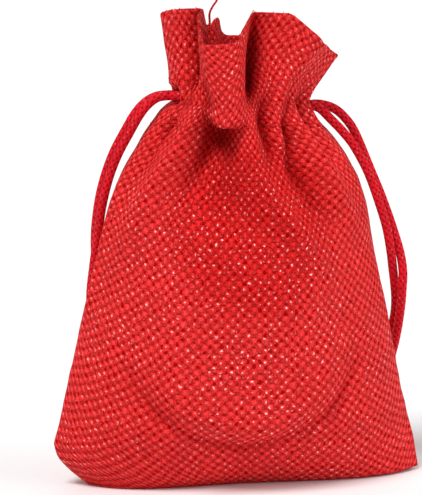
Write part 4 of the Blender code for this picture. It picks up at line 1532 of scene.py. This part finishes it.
def roughened(tree, shader, pit, roughness):
    """Roughness that grows in the pits: its value outside them, and what they add."""
    rough = reckon(tree, "MULTIPLY_ADD", pit, roughness[1], roughness[0])
    tree.links.new(rough, shader.inputs["Roughness"])


def woven_material(settings):
    material, tree, shader = new_material("red woven cloth", settings.yarn_colour, 0.5)
    for name, value in SHEEN.items():
        shader.inputs[name].default_value = value
    place = tree.nodes.new("ShaderNodeTexCoord").outputs["Object"]
    pitches = (settings.column_pitch, settings.row_pitch)
    yarns = zip(uv_parts(tree), pitches, WANDER_SCALES, RAGGED_SCALES)
    numbers = [yarn_number(tree, place, *values) for values in yarns]
    weave = interlaced(tree, *numbers, WEAVE)
    dye = dyed(tree, settings.yarn_colour, *CLOTH_DYE)
    fibre = soft_noise(tree, place, STREAK_SCALE)
    streak = ramped(tree, fibre, *STREAK_RANGE)
    streak = reckon(tree, "MULTIPLY_ADD", streak, STREAK_SPREAD, STREAK_LEAST)
    yarn = reckon(tree, "MULTIPLY", weave.outputs["Yarn Tone And Painted Shade"], streak)
    shaded = mixed_colour(tree, 1.0, dye.outputs["Colour"], yarn, "MULTIPLY")
    # Painted highlight on the crowns of the yarns
    crown = reckon(tree, "MULTIPLY", weave.outputs["Crown"], CROWN_HIGHLIGHT_STRENGTH)
    lit = mixed_colour(tree, crown, shaded, (*settings.crown_highlight_colour, 1.0))
    # Painted shade in the pits between the yarns
    pits = reckon(tree, "MULTIPLY", weave.outputs["Pit"], PIT_SHADE_STRENGTH)
    dark = mixed_colour(tree, pits, lit, (*settings.pit_shade_colour, 1.0))
    # Painted shade: cloth deep in a fold, and the base, rim and inside, are darkened
    folds = tree.nodes.new("ShaderNodeAttribute")
    folds.attribute_name = "fold shade"
    hollow = reckon(tree, "MAXIMUM", folds.outputs["Fac"], 0.0)
    # Painted shadow under the gathered neck
    neck_shadow = front_mask(tree, place, *NECK_SHADOW_OVAL)
    neck_shaded = mixed_colour(tree, neck_shadow, dark, NECK_PAINTED_SHADOW, "MULTIPLY")
    deep = mixed_colour(tree, hollow, neck_shaded, FOLD_PAINTED_SHADE, "MULTIPLY")
    patch = ramped(tree, soft_noise(tree, place, PATCH_SCALE), *PATCH_RANGE)
    patch = reckon(tree, "MULTIPLY_ADD", patch, PATCH_SPREAD, PATCH_LEAST)
    stretched = front_mask(tree, place, *OVAL_STRETCHED)
    stretched = reckon(tree, "MULTIPLY_ADD", stretched, STRETCHED_SHARE, patch)
    raised = reckon(tree, "MAXIMUM", hollow, weave.outputs["Pit"])
    raised = reckon(tree, "SUBTRACT", 1.0, raised)
    shown = reckon(tree, "MULTIPLY", stretched, raised)
    glint = reckon(tree, "MULTIPLY", weave.outputs["Glint"], shown)
    final = mixed_colour(tree, glint, deep, (*settings.glint_colour, 1.0))
    tree.links.new(final, shader.inputs["Base Color"])
    roughened(tree, shader, weave.outputs["Pit"], WEAVE_ROUGHNESS)
    relief = reckon(tree, "MULTIPLY_ADD", fibre, STREAK_RELIEF, weave.outputs["Height"])
    bumped(tree, shader, relief, settings.relief)
    return material


def braided_material(settings):
    material, tree, shader = new_material("red braided cord", settings.colour, 0.5)
    u, v = uv_parts(tree)
    round_it = reckon(tree, "MULTIPLY", u, float(settings.strands_round))
    along_it = reckon(tree, "DIVIDE", v, settings.braid_pitch)
    rising = reckon(tree, "ADD", round_it, along_it)
    falling = reckon(tree, "SUBTRACT", round_it, along_it)
    braid = interlaced(tree, rising, falling, BRAID)
    dye = dyed(tree, settings.colour, *CORD_DYE)
    shaded = mixed_colour(tree, 1.0, dye.outputs["Colour"], braid.outputs["Yarn Tone And Painted Shade"], "MULTIPLY")
    # Painted shade between the strands of the braid
    pits = reckon(tree, "MULTIPLY", braid.outputs["Pit"], BRAID_PIT_SHADE_STRENGTH)
    dark = mixed_colour(tree, pits, shaded, (*settings.shade_colour, 1.0))
    glint = reckon(tree, "MULTIPLY", braid.outputs["Glint"], BRAID_GLINT_STRENGTH)
    final = mixed_colour(tree, glint, dark, BRAID_GLINT)
    tree.links.new(final, shader.inputs["Base Color"])
    roughened(tree, shader, braid.outputs["Pit"], BRAID_ROUGHNESS)
    bumped(tree, shader, braid.outputs["Height"], BRAID_RELIEF)
    return material


def thread_material(settings):
    material, tree, shader = new_material("red sewing thread", settings.yarn_colour, 0.45)
    u, v = uv_parts(tree)
    along_it = reckon(tree, "MULTIPLY", v, THREAD_TWIST)
    twist = reckon(tree, "SINE", reckon(tree, "MULTIPLY_ADD", u, math.tau, along_it))
    dye = dyed(tree, settings.yarn_colour, *THREAD_DYE)
    # Painted shade in the grooves of the twist
    groove = ramped(tree, twist, *THREAD_GROOVE)
    dark = mixed_colour(tree, groove, dye.outputs["Colour"], (*settings.pit_shade_colour, 1.0))
    tree.links.new(dark, shader.inputs["Base Color"])
    bumped(tree, shader, twist, THREAD_RELIEF)
    return material


def floor_material(settings):
    material, tree, shader = new_material("pale floor", settings.floor_colour, 0.8)
    dye = dyed(tree, settings.floor_colour, *FLOOR_DYE)
    tree.links.new(dye.outputs["Colour"], shader.inputs["Base Color"])
    return material


class POUCH_OT_camera(bpy.types.Operator):
    """Set the camera to the photograph's angle"""

    bl_idname = "pouch.camera"
    bl_label = "Camera"

    def execute(self, context):
        azimuth = math.radians(CAMERA_AZIMUTH)
        elevation = math.radians(CAMERA_ELEVATION)
        back = Vector((
            math.sin(azimuth) * math.cos(elevation),
            -math.cos(azimuth) * math.cos(elevation),
            math.sin(elevation),
        ))
        right = UPWARD.cross(back).normalized()
        upward = back.cross(right)
        eye = Vector(CAMERA_TARGET) + back * CAMERA_DISTANCE
        data = bpy.data.cameras.new("photo_camera")
        data.sensor_fit = "VERTICAL"
        data.sensor_height = SENSOR_HEIGHT
        data.lens = PIXELS_PER_MM * 1000.0 * CAMERA_DISTANCE * SENSOR_HEIGHT / IMAGE_HEIGHT
        data.shift_x = (IMAGE_WIDTH / 2 - CENTRE_ACROSS) / IMAGE_HEIGHT
        data.shift_y = (CENTRE_DOWN - IMAGE_HEIGHT / 2) / IMAGE_HEIGHT
        data.clip_start = 0.01
        camera = bpy.data.objects.new("photo_camera", data)
        camera.matrix_world = Matrix((
            (right.x, upward.x, back.x, eye.x),
            (right.y, upward.y, back.y, eye.y),
            (right.z, upward.z, back.z, eye.z),
            (0.0, 0.0, 0.0, 1.0),
        ))
        context.scene.collection.objects.link(camera)
        context.scene.camera = camera
        return {"FINISHED"}


class POUCH_OT_drawstrings(bpy.types.Operator):
    """Build both drawstrings with their knots"""

    bl_idname = "pouch.drawstrings"
    bl_label = "Drawstrings"

    def execute(self, context):
        settings = context.scene.pouch_cords
        material = braided_material(settings)
        for name, side, route, centre in SIDES:
            line, front_exit, back_exit = drawstring_line(side, route, centre, settings.diameter)
            first = nearest_index(line, front_exit)
            last = nearest_index(line, back_exit)
            spacing = (line[1] - line[0]).length
            front = make_strand(f"strand_{name}_front", line[:first + 1], settings.diameter, 0.0)
            loop = make_strand(
                f"loop_{name}", line[first:last + 1], settings.diameter, first * spacing,
            )
            back = make_strand(
                f"strand_{name}_back", line[last:], settings.diameter, last * spacing,
            )
            knot = make_knot(f"overhand_{name}", side, centre, settings.diameter)
            for piece in (front, loop, back, knot):
                piece.data.materials.append(material)
                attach(piece, "root")
            for piece in (front, loop, back):
                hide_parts(f"drawstring_{name}")
            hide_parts(f"knot_{name}")
        return {"FINISHED"}


class POUCH_OT_cloth(bpy.types.Operator):
    """Build the gathered woven cloth"""

    bl_idname = "pouch.cloth"
    bl_label = "Cloth"

    def execute(self, context):
        settings = context.scene.pouch_cloth
        cloth = make_cloth(settings, context.scene.pouch_cords.diameter)
        cloth.data.materials.append(woven_material(settings))
        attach(cloth, "root")
        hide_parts("pouch_cloth")
        return {"FINISHED"}


class POUCH_OT_threads(bpy.types.Operator):
    """Build the stitches and the loose threads of the rim"""

    bl_idname = "pouch.threads"
    bl_label = "Threads"

    def execute(self, context):
        settings = context.scene.pouch_threads
        diameter = context.scene.pouch_cords.diameter
        material = thread_material(context.scene.pouch_cloth)
        stitches = make_stitches(settings, diameter)
        threads = make_rim_threads(settings, diameter)
        for piece in (stitches, threads):
            piece.data.materials.append(material)
            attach(piece, "root")
        return {"FINISHED"}


def soft_sun(name, direction, angle, strength):
    """An even light from one direction, whose shadows are as soft as its angle is wide."""
    data = bpy.data.lights.new(name, "SUN")
    data.angle = math.radians(angle)
    data.energy = strength
    light = bpy.data.objects.new(name, data)
    light.rotation_euler = Vector(direction).to_track_quat("Z", "Y").to_euler()
    bpy.context.scene.collection.objects.link(light)


class POUCH_OT_stage(bpy.types.Operator):
    """Build the pale floor and the soft studio light"""

    bl_idname = "pouch.stage"
    bl_label = "Stage"

    def execute(self, context):
        settings = context.scene.pouch_stage
        half = settings.floor_size / 2
        data = bpy.data.meshes.new("floor")
        data.from_pydata(
            [(-half, -half, 0.0), (half, -half, 0.0), (half, half, 0.0), (-half, half, 0.0)],
            [], [(0, 1, 2, 3)],
        )
        floor = bpy.data.objects.new("floor", data)
        context.scene.collection.objects.link(floor)
        data.materials.append(floor_material(settings))
        world = bpy.data.worlds.new("even light")
        world.use_nodes = True
        sky = world.node_tree.nodes["Background"]
        sky.inputs["Color"].default_value = (1.0, 1.0, 1.0, 1.0)
        sky.inputs["Strength"].default_value = settings.sky_strength
        context.scene.world = world
        for name, direction, angle, share in LIGHTS:
            soft_sun(name, direction, angle, settings.key_strength * share)
        context.scene.view_settings.view_transform = "Standard"
        return {"FINISHED"}


class POUCH_PT_panel(bpy.types.Panel):
    """Settings and builders of the pouch"""

    bl_idname = "POUCH_PT_panel"
    bl_label = "Drawstring Pouch"
    bl_space_type = "VIEW_3D"
    bl_region_type = "UI"
    bl_category = "Pouch"

    def draw(self, context):
        for group in ("pouch_cloth", "pouch_cords", "pouch_threads", "pouch_stage"):
            box = self.layout.box()
            settings = getattr(context.scene, group)
            for name in type(settings).__annotations__:
                box.prop(settings, name)
        for operator in OPERATORS:
            self.layout.operator(operator.bl_idname)


OPERATORS = (
    POUCH_OT_camera, POUCH_OT_drawstrings, POUCH_OT_cloth, POUCH_OT_threads, POUCH_OT_stage,
)
SETTINGS = {
    "pouch_cloth": ClothSettings,
    "pouch_cords": CordSettings,
    "pouch_threads": ThreadSettings,
    "pouch_stage": StageSettings,
}


def register():
    for group in SETTINGS.values():
        bpy.utils.register_class(group)
    for name, group in SETTINGS.items():
        setattr(bpy.types.Scene, name, bpy.props.PointerProperty(type=group))
    for operator in OPERATORS:
        bpy.utils.register_class(operator)
    bpy.utils.register_class(POUCH_PT_panel)


def unregister():
    bpy.utils.unregister_class(POUCH_PT_panel)
    for operator in reversed(OPERATORS):
        bpy.utils.unregister_class(operator)
    for name in SETTINGS:
        delattr(bpy.types.Scene, name)
    for group in SETTINGS.values():
        bpy.utils.unregister_class(group)


def main():
    register()
    bpy.ops.pouch.camera()
    bpy.ops.pouch.drawstrings()
    bpy.ops.pouch.cloth()
    bpy.ops.pouch.threads()
    bpy.ops.pouch.stage()


if __name__ == "__main__":
    main()
